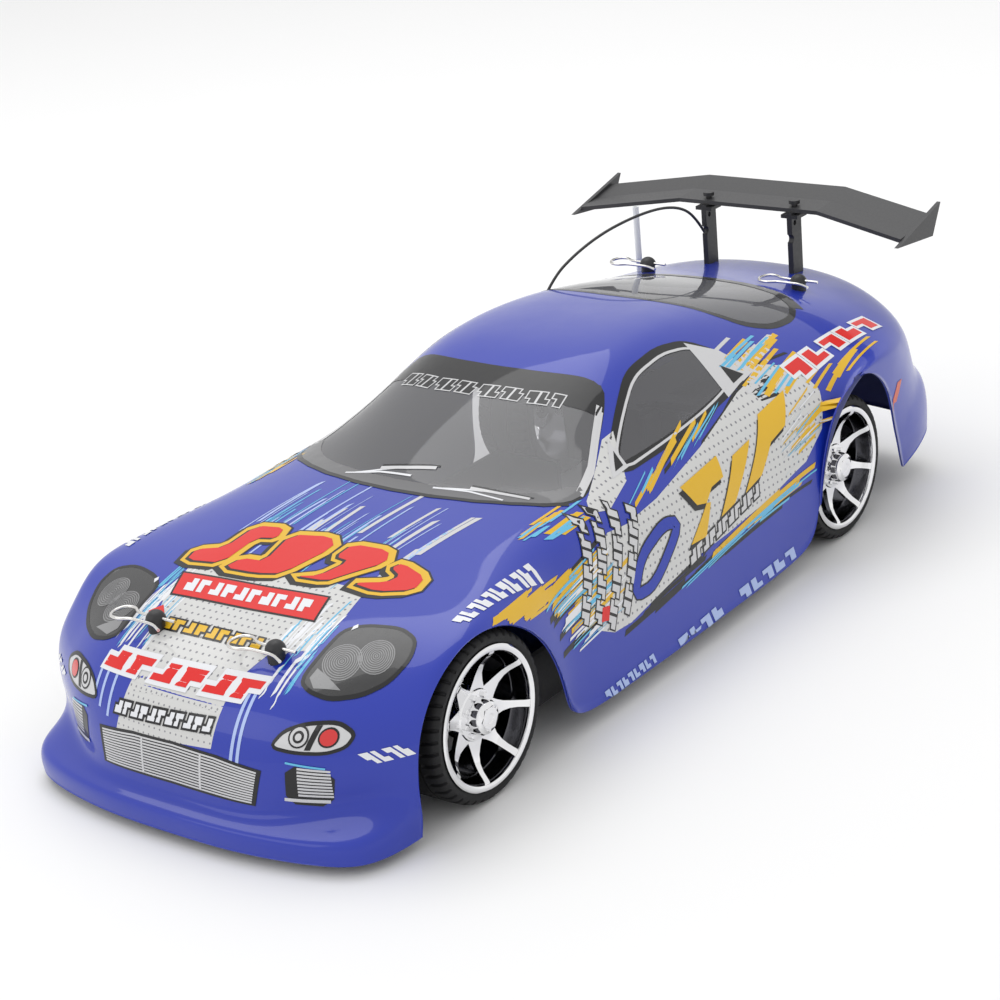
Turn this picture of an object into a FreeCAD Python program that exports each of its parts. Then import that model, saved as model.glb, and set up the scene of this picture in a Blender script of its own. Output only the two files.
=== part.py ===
"""Remote control car, tenth scale: a clear moulded body shell over a tub chassis.

Frame: +X to the nose, +Y to the car's left, +Z up, ground at zero, origin midway
between nose and tail.  Millimetres.  The sheet "Sizes" drives everything, and
"Places" holds what is worked out from it.
"""
import FreeCAD, Part
import math
import os
import re

import Sketcher

Vector = FreeCAD.Vector
Rotation = FreeCAD.Rotation

SIZES = {
    # whole car
    "wheelbase": 257,
    "front_overhang": 79,
    "rear_overhang": 102,
    "body_width": 185,
    "roof_height": 113.5,
    "shell_wall": 1,
    # wheels and tyres
    "tyre_diameter": 63,
    "rim_diameter": 53.2,
    "rim_width": 26,
    "rim_lip": 1.4,
    "bead_depth": 1.6,
    "barrel_wall": 1.5,
    "spoke_recess": 4,
    "spoke_thickness": 3.2,
    "spoke_width": 4.4,
    "wheel_hub_diameter": 16,
    "wheel_inset": 6.5,
    "axle_diameter": 5,
    "wheel_nut_flats": 8,
    "wheel_nut_height": 3.4,
    "running_clearance": 0.05,
    "side_play": 0.3,
    # front suspension and steering
    "kingpin_inset": 8,
    "kingpin_diameter": 4,
    "knuckle_height": 14,
    "knuckle_length": 11,
    "knuckle_width": 9,
    "collar_height": 1.5,
    "collar_diameter": 9,
    "spring_wire": 0.8,
    "spring_turns": 4,
    "steering_arm": 18,
    "link_pin_diameter": 3,
    "link_slot_play": 0.3,
    "beam_width": 8,
    "beam_thickness": 3.5,
    "top_plate_thickness": 2.5,
    "top_plate_height": 48,
    "servo_length": 40,
    "servo_width": 20,
    "servo_depth": 36,
    "servo_arm_length": 12,
    "servo_ear_reach": 7,
    "servo_ear_thickness": 2.5,
    "servo_hub_diameter": 8,
    "link_bar_width": 8,
    "link_bar_thickness": 3,
    "pillar_width": 6,
    "pillar_inset": 19,
    # chassis
    "floor_height": 7,
    "floor_thickness": 2.5,
    "tub_half_width": 66,
    "tub_wall": 2.5,
    "tub_wall_height": 18,
    "spine_half_width": 34,
    "battery_length": 132,
    "battery_width": 46,
    "battery_height": 24,
    "strap_width": 16,
    "strap_thickness": 3,
    "hinge_pin_diameter": 3,
    "receiver_length": 66,
    "receiver_width": 42,
    "receiver_height": 22,
    "receiver_wall": 1.5,
    "board_thickness": 1.6,
    "board_margin": 4,
    "switch_length": 14,
    "switch_width": 7,
    "switch_height": 6,
    "switch_travel": 2.4,
    "slider_length": 3,
    "slider_width": 2.8,
    "strap_ear_length": 3,
    "strap_ear_width": 6,
    "strap_ear_foot": 16,
    "strap_barrel_diameter": 5.6,
    "strap_riser": 2.8,
    "bumper_depth": 11,
    "bumper_height": 13,
    # rear drive
    "gear_module": 0.6,
    "final_teeth": 42,
    "idler_small_teeth": 14,
    "idler_large_teeth": 40,
    "pinion_teeth": 10,
    "gear_face": 4,
    "gear_backlash": 0.3,
    "gear_wall": 2,
    "bearing_diameter": 10,
    "bearing_width": 4,
    "idler_pin_diameter": 3,
    "motor_shaft_diameter": 2,
    "motor_diameter": 28,
    "motor_length": 38,
    "roll_pin_diameter": 5,
    "deck_plate_height": 60,
    "deck_plate_thickness": 3,
    "axle_arm_height": 15,
    "roll_plate_thickness": 3,
    "roll_plate_height": 25,
    "roll_spring_spread": 24,
    "roll_spring_seat": 45,
    "roll_spring_radius": 2.6,
    "roll_spring_play": 1.1,
    "spring_seat_length": 8,
    "spring_seat_thickness": 2,
    "pivot_mount_length": 14,
    "pivot_mount_width": 28,
    # body fixings, wing and aerial
    "post_diameter": 6.4,
    "post_cap_diameter": 7.6,
    "post_above_shell": 3.2,
    "front_post_spacing": 56.8,
    "front_post_setback": 37,
    "rear_post_spacing": 79,
    "rear_post_setback": 56,
    "clip_wire": 1.2,
    "clip_clearance": 0.06,
    "clip_height": 4.2,
    "hole_clearance": 0.4,
    "wing_span": 167,
    "wing_flat": 72,
    "wing_chord": 27,
    "wing_thickness": 1.8,
    "wing_rise": 4.2,
    "wing_droop": 5.2,
    "wing_height": 119.2,
    "wing_leading_setback": 70.5,
    "strut_spacing": 45,
    "strut_setback": 28.5,
    "strut_width": 8.5,
    "strut_thickness": 2.6,
    "screw_diameter": 2.6,
    "screw_head_diameter": 5,
    "screw_head_height": 1.4,
    "screw_length": 9,
    "aerial_tube_diameter": 3,
    "aerial_tube_top": 120,
    "aerial_behind_post": 8.5,
    "aerial_beside_post": 10.5,
    "wire_diameter": 1.3,
}

document = FreeCAD.newDocument("remote_control_car")
sheet = document.addObject("Spreadsheet::Sheet", "Sizes")
for row, (alias, size) in enumerate(SIZES.items(), start=1):
    sheet.set("A%d" % row, str(size))
    sheet.setAlias("A%d" % row, alias)
document.recompute()

places = document.addObject("App::VarSet", "Places")
formulas = document.addObject("App::VarSet", "Formulas")
formulas.addProperty("App::PropertyFloat", "answer", "Formulas")
place_names = []
node_names = []


def bound(text):
    """Turn plain size and place names in a formula into references."""
    def reference(match):
        word = match.group(0)
        if word in SIZES:
            return "Sizes." + word
        if word in place_names:
            return "Places." + word
        return word
    return re.sub(r"[a-z_]{3,}", reference, text)


def place(name, formula):
    """Add a worked-out value and return it."""
    places.addProperty("App::PropertyFloat", name, "Places")
    places.setExpression(name, bound(formula))
    place_names.append(name)
    places.recompute()
    return getattr(places, name)


def measured_place(name, value):
    """Add a value that was measured on the shell."""
    places.addProperty("App::PropertyFloat", name, "Places")
    setattr(places, name, value)
    place_names.append(name)
    return value


def size(name):
    return float(sheet.get(name))


def formula_value(formula):
    """The number that a formula gives now."""
    formulas.setExpression("answer", bound(str(formula)))
    formulas.recompute()
    return formulas.answer


def at(obj, x, y, z, rotation=None):
    """Place an object by three formulas, then turn it about its own origin."""
    if rotation is not None:
        obj.Placement = FreeCAD.Placement(Vector(0, 0, 0), rotation)
    for axis, formula in zip("xyz", (x, y, z)):
        obj.setExpression("Placement.Base." + axis, bound(str(formula)))
    return obj


ALONG_X = Rotation(Vector(0, 1, 0), 90)
ALONG_Y = Rotation(Vector(1, 0, 0), -90)
TURNED = Rotation(Vector(0, 0, 1), 180)


def box(name, length, width, height, x, y, z):
    """A box whose length runs along X, width along Y and height along Z."""
    obj = document.addObject("Part::Box", name)
    for prop, formula in zip(("Length", "Width", "Height"), (length, width, height)):
        obj.setExpression(prop, bound(str(formula)))
    return at(obj, x, y, z)


def rod(name, diameter, height, x, y, z, rotation=None):
    """A cylinder from its start point, along Z unless it is turned."""
    obj = document.addObject("Part::Cylinder", name)
    obj.setExpression("Radius", bound("(%s) / 2" % diameter))
    obj.setExpression("Height", bound(str(height)))
    return at(obj, x, y, z, rotation)


def fuse(name, *pieces):
    obj = document.addObject("Part::MultiFuse", name)
    obj.Shapes = list(pieces)
    return obj


def cut(name, base, *tools):
    """Cut the tools out of the base, one after another."""
    left = base
    for number, tool in enumerate(tools, start=1):
        obj = document.addObject("Part::Cut", "%s_%d" % (name, number))
        obj.Base = left
        obj.Tool = tool
        left = obj
    return left


def group(name, *pieces):
    """Several separate solids that are one node."""
    obj = document.addObject("Part::Compound", name)
    obj.Links = list(pieces)
    return obj


def feature(name, shape, position=Vector(0, 0, 0)):
    """A piece drawn about its own origin by Part's functions, then put in place."""
    obj = document.addObject("Part::Feature", name)
    obj.Shape = shape
    obj.Placement = FreeCAD.Placement(position, Rotation())
    return obj


def node(obj, label):
    """Give an object its own label and put it on the list of sub-parts."""
    obj.Label = label
    node_names.append((obj, label))
    return obj


def sketch_outline(body, name, plane_role, points):
    """A closed outline in a body, each corner bound to two formulas."""
    sketch = body.newObject("Sketcher::SketchObject", name)
    plane = [p for p in body.Origin.OriginFeatures if p.Role == plane_role][0]
    sketch.AttachmentSupport = (plane, [""])
    sketch.MapMode = "FlatFace"
    rough = [Vector(formula_value(first), formula_value(second), 0) for first, second in points]
    count = len(points)
    for i in range(count):
        sketch.addGeometry(Part.LineSegment(rough[i], rough[(i + 1) % count]), False)
    for i in range(count):
        sketch.addConstraint(Sketcher.Constraint("Coincident", i, 2, (i + 1) % count, 1))
    for i, corner in enumerate(points):
        for kind, formula, value in zip(("DistanceX", "DistanceY"), corner, rough[i]):
            number = sketch.addConstraint(Sketcher.Constraint(kind, -1, 1, i, 1, value))
            sketch.setExpression("Constraints[%d]" % number, bound(str(formula)))
    return sketch


def revolved(name, points):
    """A body turned about the Y axis from corners given as radius and y."""
    body = document.addObject("PartDesign::Body", name)
    sketch = sketch_outline(body, name + "_profile", "XY_Plane", points)
    turn = body.newObject("PartDesign::Revolution", name + "_turn")
    turn.Profile = sketch
    turn.ReferenceAxis = (sketch, ["V_Axis"])
    turn.Angle = 360
    return body


half_length = place("half_length", "(wheelbase + front_overhang + rear_overhang) / 2")
front_axle_x = place("front_axle_x", "half_length - front_overhang")
rear_axle_x = place("rear_axle_x", "front_axle_x - wheelbase")
axle_height = place("axle_height", "tyre_diameter / 2")
wheel_face_y = place("wheel_face_y", "body_width / 2 - wheel_inset")
wheel_back_y = place("wheel_back_y", "wheel_face_y - rim_width")
kingpin_y = place("kingpin_y", "wheel_back_y - kingpin_inset")
floor_top = place("floor_top", "floor_height + floor_thickness")
front_post_x = place("front_post_x", "half_length - front_post_setback")
front_post_y = place("front_post_y", "front_post_spacing / 2")
rear_post_x = place("rear_post_x", "rear_post_setback - half_length")
rear_post_y = place("rear_post_y", "rear_post_spacing / 2")
strut_x = place("strut_x", "strut_setback - half_length")
strut_y = place("strut_y", "strut_spacing / 2")
aerial_x = place("aerial_x", "rear_post_x - aerial_behind_post")
aerial_y = place("aerial_y", "-rear_post_y - aerial_beside_post")
tub_front_x = place("tub_front_x", "front_axle_x - tyre_diameter / 2 - 16.5")
tub_rear_x = place("tub_rear_x", "rear_axle_x + tyre_diameter / 2 + 12")
spine_front_x = place("spine_front_x", "half_length - 22")
pivot_rear_x = place("pivot_rear_x", "rear_axle_x + tyre_diameter / 2 - 4.5")
knuckle_low = place("knuckle_low", "axle_height - knuckle_height / 2")
knuckle_top = place("knuckle_top", "axle_height + knuckle_height / 2")
link_x = place("link_x", "front_axle_x - steering_arm")
link_z = place("link_z", "axle_height - 2")
servo_axis_z = place("servo_axis_z", "floor_top + servo_width / 2")
servo_front_x = place("servo_front_x", "link_x - 8")
idler_distance = place("idler_distance", "(final_teeth + idler_small_teeth) * gear_module / 2")
pinion_distance = place("pinion_distance", "(idler_large_teeth + pinion_teeth) * gear_module / 2")
idler_x = place("idler_x", "rear_axle_x - idler_distance * cos(20 deg)")
idler_z = place("idler_z", "axle_height + idler_distance * sin(20 deg)")
pinion_x = place("pinion_x", "idler_x - pinion_distance * cos(15 deg)")
pinion_z = place("pinion_z", "idler_z + pinion_distance * sin(15 deg)")
gear_low_y = place("gear_low_y", "6")
gear_high_y = place("gear_high_y", "gear_low_y + gear_face + 2")
roll_plate_x = place("roll_plate_x", "pivot_rear_x - 6")
case_rear_x = place("case_rear_x", "pinion_x - motor_diameter / 2 - 2")
case_low_y = place("case_low_y", "gear_low_y - gear_wall - 1")
case_high_y = place("case_high_y", "gear_high_y + gear_face + 1")
case_low_z = place("case_low_z", "axle_height - final_teeth * gear_module / 2 - 4")
case_high_z = place("case_high_z", "pinion_z + motor_diameter / 2 + 1")
arm_y = place("arm_y", "wheel_back_y - 20")
battery_left_y = place("battery_left_y", "tub_half_width - tub_wall - 2.5")
tub_middle_x = place("tub_middle_x", "(tub_front_x + tub_rear_x) / 2")
deck_top = place("deck_top", "deck_plate_height + deck_plate_thickness")
strap_z = place("strap_z", "floor_top + battery_height + 1")
strap_pin_y = place("strap_pin_y", "tub_half_width - tub_wall / 2")
strap_pin_z = place("strap_pin_z", "strap_z - 3.5")
receiver_x = place("receiver_x", "tub_rear_x + 54")
receiver_y = place("receiver_y", "-tub_half_width + tub_wall + 3.5")
switch_x = place("switch_x", "tub_rear_x + 43.5")
switch_y = place("switch_y", "receiver_y + 18")

# ---------------------------------------------------------------- body shell
# Half of the control net, from the centreline out to the bottom edge, drawn for the
# standard car.  The outer column follows the front arch, the sill and the rear arch.
DRAWN_WHEELBASE = 257
DRAWN_FRONT_OVERHANG = 79
DRAWN_REAR_OVERHANG = 102
DRAWN_WIDTH = 185
DRAWN_ROOF = 113.5
DRAWN_BELT = 72
DRAWN_TYRE = 63

SHELL_NET = {
    "splitter_bottom": [
        (207, 0, 4), (207, 25, 4), (204, 47, 4),
        (200, 64, 4), (194.5, 76, 4), (186, 80.5, 4),
        (179, 82, 4), (173.5, 82.8, 4), (168, 83, 4)],
    "splitter_edge": [
        (208, 0, 11), (208, 25, 11), (205, 47, 11),
        (201, 64, 11.5), (195.5, 77, 12), (186.5, 81.5, 12),
        (179.5, 82.8, 11.5), (173.5, 83.4, 11), (167.5, 83.7, 10.5)],
    "splitter_top": [
        (206, 0, 12.5), (206, 25, 12.5), (203, 47, 12.5),
        (197.5, 63.5, 13), (191.5, 75, 14), (184.5, 80, 14.5),
        (178, 82, 15), (173, 83.3, 15), (168, 84, 14.5)],
    "bumper_foot": [
        (200.5, 0, 14), (200.5, 24, 14), (198, 41, 14.5),
        (190, 55, 16), (182.5, 66, 18), (177, 74, 19.5),
        (173, 79.5, 20.5), (170.5, 82.8, 20.8), (169, 84.7, 20.5)],
    "bumper_low": [
        (200, 0, 21), (200, 24, 21), (197, 42, 22),
        (189, 57, 24), (182, 68, 25.5), (176.5, 76, 27),
        (173, 81, 28), (171, 84, 28.2), (169.8, 85.5, 28)],
    "bumper_mid": [
        (199, 0, 33), (198.5, 22, 33), (195, 44, 34),
        (188, 60, 35), (181, 71, 36), (175.5, 78.3, 37),
        (172, 82.7, 37.3), (170, 85, 37.5), (169, 86, 37.2)],
    "bumper_high": [
        (195, 0, 45), (194, 22, 45), (190.5, 44, 46),
        (184, 60, 46.5), (177, 70.5, 46.8), (172, 77.8, 47),
        (168.8, 82.5, 47), (167, 85, 46.8), (166, 86.2, 46.3)],
    "nose": [
        (185, 0, 55), (184, 22, 55.5), (181.5, 42, 56),
        (175.2, 57, 55.5), (168.7, 67.5, 55.3), (164.2, 75.3, 55.5),
        (160.7, 81, 55.7), (158.7, 84, 55.7), (157.5, 85.3, 55.1)],
    "hood_front": [
        (169, 0, 62), (168, 22, 62.5), (166, 42, 63),
        (162, 56.5, 63), (157, 67, 63), (153, 75.3, 63.3),
        (150, 81.5, 64.1), (148, 85, 64.3), (146.5, 86.5, 63.3)],
    "hood_lamps": [
        (150, 0, 68), (150, 21, 68.5), (149, 41, 68.5),
        (147, 56.5, 68.5), (144, 67.5, 68.5), (140.5, 76, 68.6),
        (137.5, 82, 68.6), (135.2, 85.2, 67.8), (133.5, 86.6, 66.3)],
    "hood_mid": [
        (128, 0, 73), (128, 20, 73.5), (128, 40, 73),
        (127, 56.5, 72), (125, 68, 71.7), (122, 76.3, 71.3),
        (119.7, 82.3, 69.5), (118.3, 85.5, 67), (117.3, 86.8, 64)],
    "hood_rear": [
        (104, 0, 77), (104, 20, 77.5), (104, 40, 77),
        (104, 56.5, 75.5), (103.8, 68, 74), (103.4, 76.3, 72),
        (102.8, 82.3, 67.5), (102, 85.8, 61), (101.5, 87, 54.5)],
    "arch_back": [
        (84, 0, 79.5), (84, 20, 79.5), (84, 40, 79),
        (84, 57, 77.5), (85, 68, 75), (87, 76.5, 71),
        (89, 82, 63.5), (90.8, 85.8, 53), (92, 87, 42.5)],
    "cowl_front": [
        (70, 0, 80.5), (69, 20, 80.5), (66, 40, 80),
        (62, 57, 78.5), (67, 68, 76), (75, 76, 70.5),
        (80.5, 82, 58.5), (84.5, 85.8, 42), (86.5, 87, 30)],
    "cowl": [
        (64, 0, 81), (62, 20, 81), (56, 40, 80.5),
        (46, 57, 79.5), (48, 70, 76), (62, 77.5, 70),
        (72, 82.2, 57), (80, 85.5, 38), (83.8, 86.8, 18.5)],
    "screen_foot": [
        (58, 0, 83), (56, 19, 83), (49, 38, 82.5),
        (37, 55, 81), (34, 70, 77), (48, 78, 69),
        (60, 82.8, 55), (70.5, 85.6, 35), (79.5, 86, 7.5)],
    "screen_mid": [
        (28, 0, 96), (27, 18, 95.5), (23, 35, 94.5),
        (16, 51, 91), (12, 68, 79), (24, 79, 68),
        (34, 83.3, 54), (43, 86, 35), (53, 87.5, 7.5)],
    "screen_top": [
        (-6, 0, 108.5), (-7, 17, 108), (-9, 33, 107.5),
        (-13, 48.5, 103.5), (-12, 68, 81), (-4, 79.5, 68),
        (4, 84, 54), (10, 86, 36), (15, 88.5, 8)],
    "roof_front": [
        (-26, 0, 112.5), (-26, 17, 112.5), (-28, 33, 111.5),
        (-31, 49, 107.5), (-31, 67.5, 83), (-28, 80, 69),
        (-24, 84.5, 54), (-20, 86, 36), (-18, 88.5, 8)],
    "roof_mid": [
        (-54, 0, 113.5), (-54, 17, 113.5), (-55, 33, 112.8),
        (-57, 48.5, 109), (-56, 67, 85), (-54, 80.5, 70),
        (-52, 85, 54), (-50, 86, 36), (-50, 88.5, 8)],
    "roof_rear": [
        (-84, 0, 112), (-84, 17, 112), (-84, 32.5, 111),
        (-84, 47.5, 107), (-82, 67.5, 86), (-79, 81.5, 71.5),
        (-76, 86, 55), (-75, 87, 36), (-81, 88, 8)],
    "hatch_front": [
        (-112, 0, 108), (-112, 17, 108), (-111, 33, 106.8),
        (-109, 48.5, 102.5), (-106, 68, 87), (-101, 82.5, 73.5),
        (-97, 88, 56), (-97, 89, 36), (-99, 88, 12)],
    "hatch_mid": [
        (-140, 0, 102), (-140, 17, 102), (-138, 34, 101),
        (-136, 51, 97), (-131, 69, 87), (-124, 83, 75.5),
        (-114, 89.5, 65), (-103, 91.5, 54), (-97, 91, 42)],
    "hatch_rear": [
        (-166, 0, 96), (-166, 18, 95.8), (-164, 36, 94.8),
        (-161, 53, 92), (-157, 70, 85.5), (-149, 83, 78),
        (-137, 90, 75), (-122, 93, 72), (-107, 92, 66)],
    "deck": [
        (-190, 0, 92), (-190, 18, 91.5), (-188, 35, 90.8),
        (-185, 53, 88.5), (-180, 69.5, 83), (-171.5, 82, 77.5),
        (-159, 89.5, 76), (-142, 93, 76), (-124, 92.5, 74)],
    "deck_lip": [
        (-212, 0, 91), (-212, 18, 90.5), (-210, 36, 89),
        (-205, 53, 86), (-198.5, 69, 80), (-189, 81, 75),
        (-175.5, 88.5, 72.5), (-160, 92, 72), (-143, 92, 72)],
    "tail_top": [
        (-220, 0, 88), (-220, 18, 87.5), (-218, 36, 85.5),
        (-214, 53, 81.5), (-208, 68.5, 75.5), (-199, 80, 69),
        (-186.5, 86.5, 64), (-172.5, 90, 62), (-158, 90.5, 60)],
    "tail": [
        (-220, 0, 70), (-220, 18, 70), (-218, 36, 69),
        (-215, 53, 66.5), (-210.5, 69, 63), (-202.5, 80, 57.5),
        (-191, 86, 52), (-179, 88.5, 49), (-166, 88.5, 46)],
    "tail_step": [
        (-220, 0, 56), (-220, 18, 56), (-219, 36, 55.5),
        (-216.5, 54, 54.5), (-212.5, 70, 52.5), (-206, 80.5, 48.5),
        (-196.5, 85, 42), (-185, 87, 38), (-172, 86.5, 34)],
    "bumper_rear_top": [
        (-229, 0, 51), (-229, 18, 51), (-228, 37, 50.5),
        (-225.5, 57, 49.5), (-221.5, 72.5, 47.5), (-214, 81, 43.5),
        (-203, 85, 36), (-191, 86.5, 30), (-178, 85, 24)],
    "bumper_rear": [
        (-231, 0, 34), (-231, 18, 34), (-229.5, 38, 34),
        (-227, 58, 33.5), (-223.5, 73, 32.5), (-216, 81, 30),
        (-205, 84.5, 25), (-194.5, 85, 20), (-183, 83, 16)],
    "bumper_rear_low": [
        (-230, 0, 21), (-230, 18, 21), (-228, 38, 21),
        (-225.5, 58, 20.5), (-222, 73.5, 20.5), (-215, 81, 20),
        (-205, 83, 17), (-196, 83, 13), (-187, 82, 10)],
}


def net_point(x, y, z):
    """Move a drawn point of the net to the present wheelbase, width and height."""
    half_base = DRAWN_WHEELBASE / 2
    if x > half_base:
        along = front_axle_x + (x - half_base) * size("front_overhang") / DRAWN_FRONT_OVERHANG
    elif x < -half_base:
        along = rear_axle_x + (x + half_base) * size("rear_overhang") / DRAWN_REAR_OVERHANG
    else:
        middle = (front_axle_x + rear_axle_x) / 2
        along = middle + x * size("wheelbase") / DRAWN_WHEELBASE
    across = y * size("body_width") / DRAWN_WIDTH
    up = min(z, DRAWN_BELT) * size("tyre_diameter") / DRAWN_TYRE
    if z > DRAWN_BELT:
        belt = DRAWN_BELT * size("tyre_diameter") / DRAWN_TYRE
        up += (z - DRAWN_BELT) * (size("roof_height") - belt) / (DRAWN_ROOF - DRAWN_BELT)
    return Vector(along, across, up)


def clamped_knots(count):
    spans = count - 3
    return [i / spans for i in range(spans + 1)], [4] + [1] * (spans - 1) + [4]


def net_surface(net):
    surface = Part.BSplineSurface()
    row_knots, row_mults = clamped_knots(len(net))
    column_knots, column_mults = clamped_knots(len(net[0]))
    surface.buildFromPolesMultsKnots(
        net, row_mults, column_mults, row_knots, column_knots, False, False, 3, 3)
    return surface


def full_net():
    net = []
    for half in SHELL_NET.values():
        right = [net_point(x, -y, z) for x, y, z in reversed(half[1:])]
        net.append(right + [net_point(x, y, z) for x, y, z in half])
    return net


def inner_net(net, wall):
    """The net moved inwards along its own normals by the wall."""
    rows, columns = len(net), len(net[0])
    moved = []
    for i in range(rows):
        line = []
        for j in range(columns):
            along = net[min(i + 1, rows - 1)][j] - net[max(i - 1, 0)][j]
            across = net[i][min(j + 1, columns - 1)] - net[i][max(j - 1, 0)]
            inward = along.cross(across)
            inward.normalize()
            line.append(net[i][j] + inward * wall)
        moved.append(line)
    return moved


outer_net = full_net()
outer_surface = net_surface(outer_net)
inner_surface = net_surface(inner_net(outer_net, size("shell_wall")))


def shell_solid():
    outer = outer_surface.toShape()
    inner = inner_surface.toShape()
    sides = []
    for direction in ("uIso", "vIso"):
        for parameter in (0, 1):
            pair = [getattr(s, direction)(parameter).toShape()
                    for s in (outer_surface, inner_surface)]
            sides.append(Part.makeRuledSurface(pair[0], pair[1]))
    skin = Part.Shell([outer, inner] + sides)
    skin.sewShape()
    solid = Part.Solid(skin)
    if solid.Volume < 0:
        solid.reverse()
    return solid


def shell_height(x, y):
    """Height of the shell's outside over a point, found by repeated projection."""
    up = size("roof_height") * 0.8
    for _ in range(60):
        up = outer_surface.value(*outer_surface.parameter(Vector(x, y, up))).z
    return up


measured_place("front_deck_z", shell_height(front_post_x, front_post_y))
measured_place("rear_deck_z", shell_height(rear_post_x, rear_post_y))
measured_place("strut_deck_z", shell_height(strut_x, strut_y))
shell = feature("shell_skin", shell_solid())

posts = []
post_caps = []
post_bores = []
for end, deck, foot in (("front", "front_deck_z", "floor_top"),
                        ("rear", "rear_deck_z", "deck_plate_height + deck_plate_thickness")):
    for side, sign in (("left", ""), ("right", "-")):
        name = "%s_%s_post" % (end, side)
        x = "%s_post_x" % end
        y = "%s%s_post_y" % (sign, end)
        stem = rod(name + "_stem", "post_diameter", "%s + post_above_shell - (%s)" % (deck, foot), x, y, foot)
        cap = document.addObject("Part::Sphere", name + "_cap")
        cap.setExpression("Radius", bound("post_cap_diameter / 2"))
        cap.Angle1 = 0
        at(cap, x, y, "%s + post_above_shell" % deck)
        bore = rod(name + "_bore", "clip_wire + 2 * clip_clearance", "post_cap_diameter * 2",
                   x, "(%s) - post_cap_diameter" % y, "%s + clip_height" % deck, ALONG_Y)
        posts.append(cut(name, fuse(name + "_body", stem, cap), bore))
        post_bores.append(rod(name + "_hole", "post_diameter + 2 * hole_clearance", 40,
                              x, y, "%s - 20" % deck))
front_posts = node(group("front_posts", *posts[:2]), "front_body_posts")
rear_posts = node(group("rear_posts", *posts[2:]), "rear_body_posts")

strut_slots = []
for side, sign in (("left", ""), ("right", "-")):
    strut_slots.append(box(
        side + "_strut_slot", "strut_width + 2 * hole_clearance",
        "strut_thickness + 2 * hole_clearance", 30,
        "strut_x - strut_width / 2 - hole_clearance",
        "%sstrut_y - strut_thickness / 2 - hole_clearance" % sign, "strut_deck_z - 15"))
aerial_hole = rod("aerial_hole", "aerial_tube_diameter + 2 * hole_clearance", 50,
                  "aerial_x", "aerial_y", "rear_deck_z - 25")

# The aerial wire comes out of the roof in a high arch and ends at the right strut.
# Route corners, chosen by hand; the tube is straight runs joined by tangent arcs.
AERIAL_ROUTE = [
    (-81, -39.8, 103.5), (-88, -38.8, 111.5), (-102, -36.4, 118.2),
    (-120, -33.4, 123.2), (-140, -30.1, 125.3), (-158, -27.2, 125),
    (-171.5, -25, 121.6), (-180.5, -23.6, 115), (-186, -22.6, 106.5),
]


def rounded_path(corners, share=0.45):
    """Straight runs joined by tangent arcs, with the radius of each arc."""
    points = [Vector(*c) for c in corners]
    edges = []
    radii = []
    start = points[0]
    for before, corner, after in zip(points, points[1:], points[2:]):
        into = corner - before
        out = after - corner
        trim = share * min(into.Length, out.Length)
        half_turn = into.getAngle(out) / 2
        into.normalize()
        out.normalize()
        arc_start = corner - into * trim
        arc_end = corner + out * trim
        radius = trim / math.tan(half_turn)
        middle = arc_start + arc_end - corner * 2
        middle.normalize()
        centre = corner + middle * (radius / math.cos(half_turn))
        inner = corner - centre
        inner.normalize()
        edges.append(Part.LineSegment(start, arc_start).toShape())
        edges.append(Part.Arc(arc_start, centre + inner * radius, arc_end).toShape())
        radii.append(radius)
        start = arc_end
    edges.append(Part.LineSegment(start, points[-1]).toShape())
    return Part.Wire(edges), radii


def round_tube(path, diameter):
    """Sweep a disc along a path."""
    first = path.Edges[0]
    start = first.valueAt(first.FirstParameter)
    heading = first.tangentAt(first.FirstParameter)
    disc = Part.Wire(Part.Circle(start, heading, diameter / 2).toShape())
    return path.makePipeShell([disc], True, True)


aerial_path, aerial_radii = rounded_path(AERIAL_ROUTE)
aerial_wire = node(feature("aerial_lead", round_tube(aerial_path, size("wire_diameter"))),
                   "antenna_wire")
wire_section = math.pi * size("wire_diameter") ** 2 / 4
print("aerial wire: length %.1f, radii %s, volume over section times length %.4f" % (
    aerial_path.Length, [round(r, 1) for r in aerial_radii],
    aerial_wire.Shape.Volume / (wire_section * aerial_path.Length)))
wire_start = Vector(*AERIAL_ROUTE[0])
wire_heading = Vector(*AERIAL_ROUTE[1]) - wire_start
wire_heading.normalize()
wire_hole_reach = 12
wire_hole = feature("wire_hole", Part.makeCylinder(
    size("wire_diameter") / 2 + size("hole_clearance"), 2 * wire_hole_reach,
    wire_start - wire_heading * wire_hole_reach, wire_heading))

body_shell = node(cut("shell", shell, *(post_bores + strut_slots + [aerial_hole, wire_hole])),
                  "body_shell")
aerial_tube = node(cut(
    "aerial_tube",
    rod("aerial_tube_outside", "aerial_tube_diameter",
        "aerial_tube_top - deck_plate_height - deck_plate_thickness",
        "aerial_x", "aerial_y", "deck_plate_height + deck_plate_thickness"),
    rod("aerial_tube_bore", "aerial_tube_diameter - 1",
        "aerial_tube_top - deck_plate_height",
        "aerial_x", "aerial_y", "deck_plate_height + deck_plate_thickness")), "antenna_tube")


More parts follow.
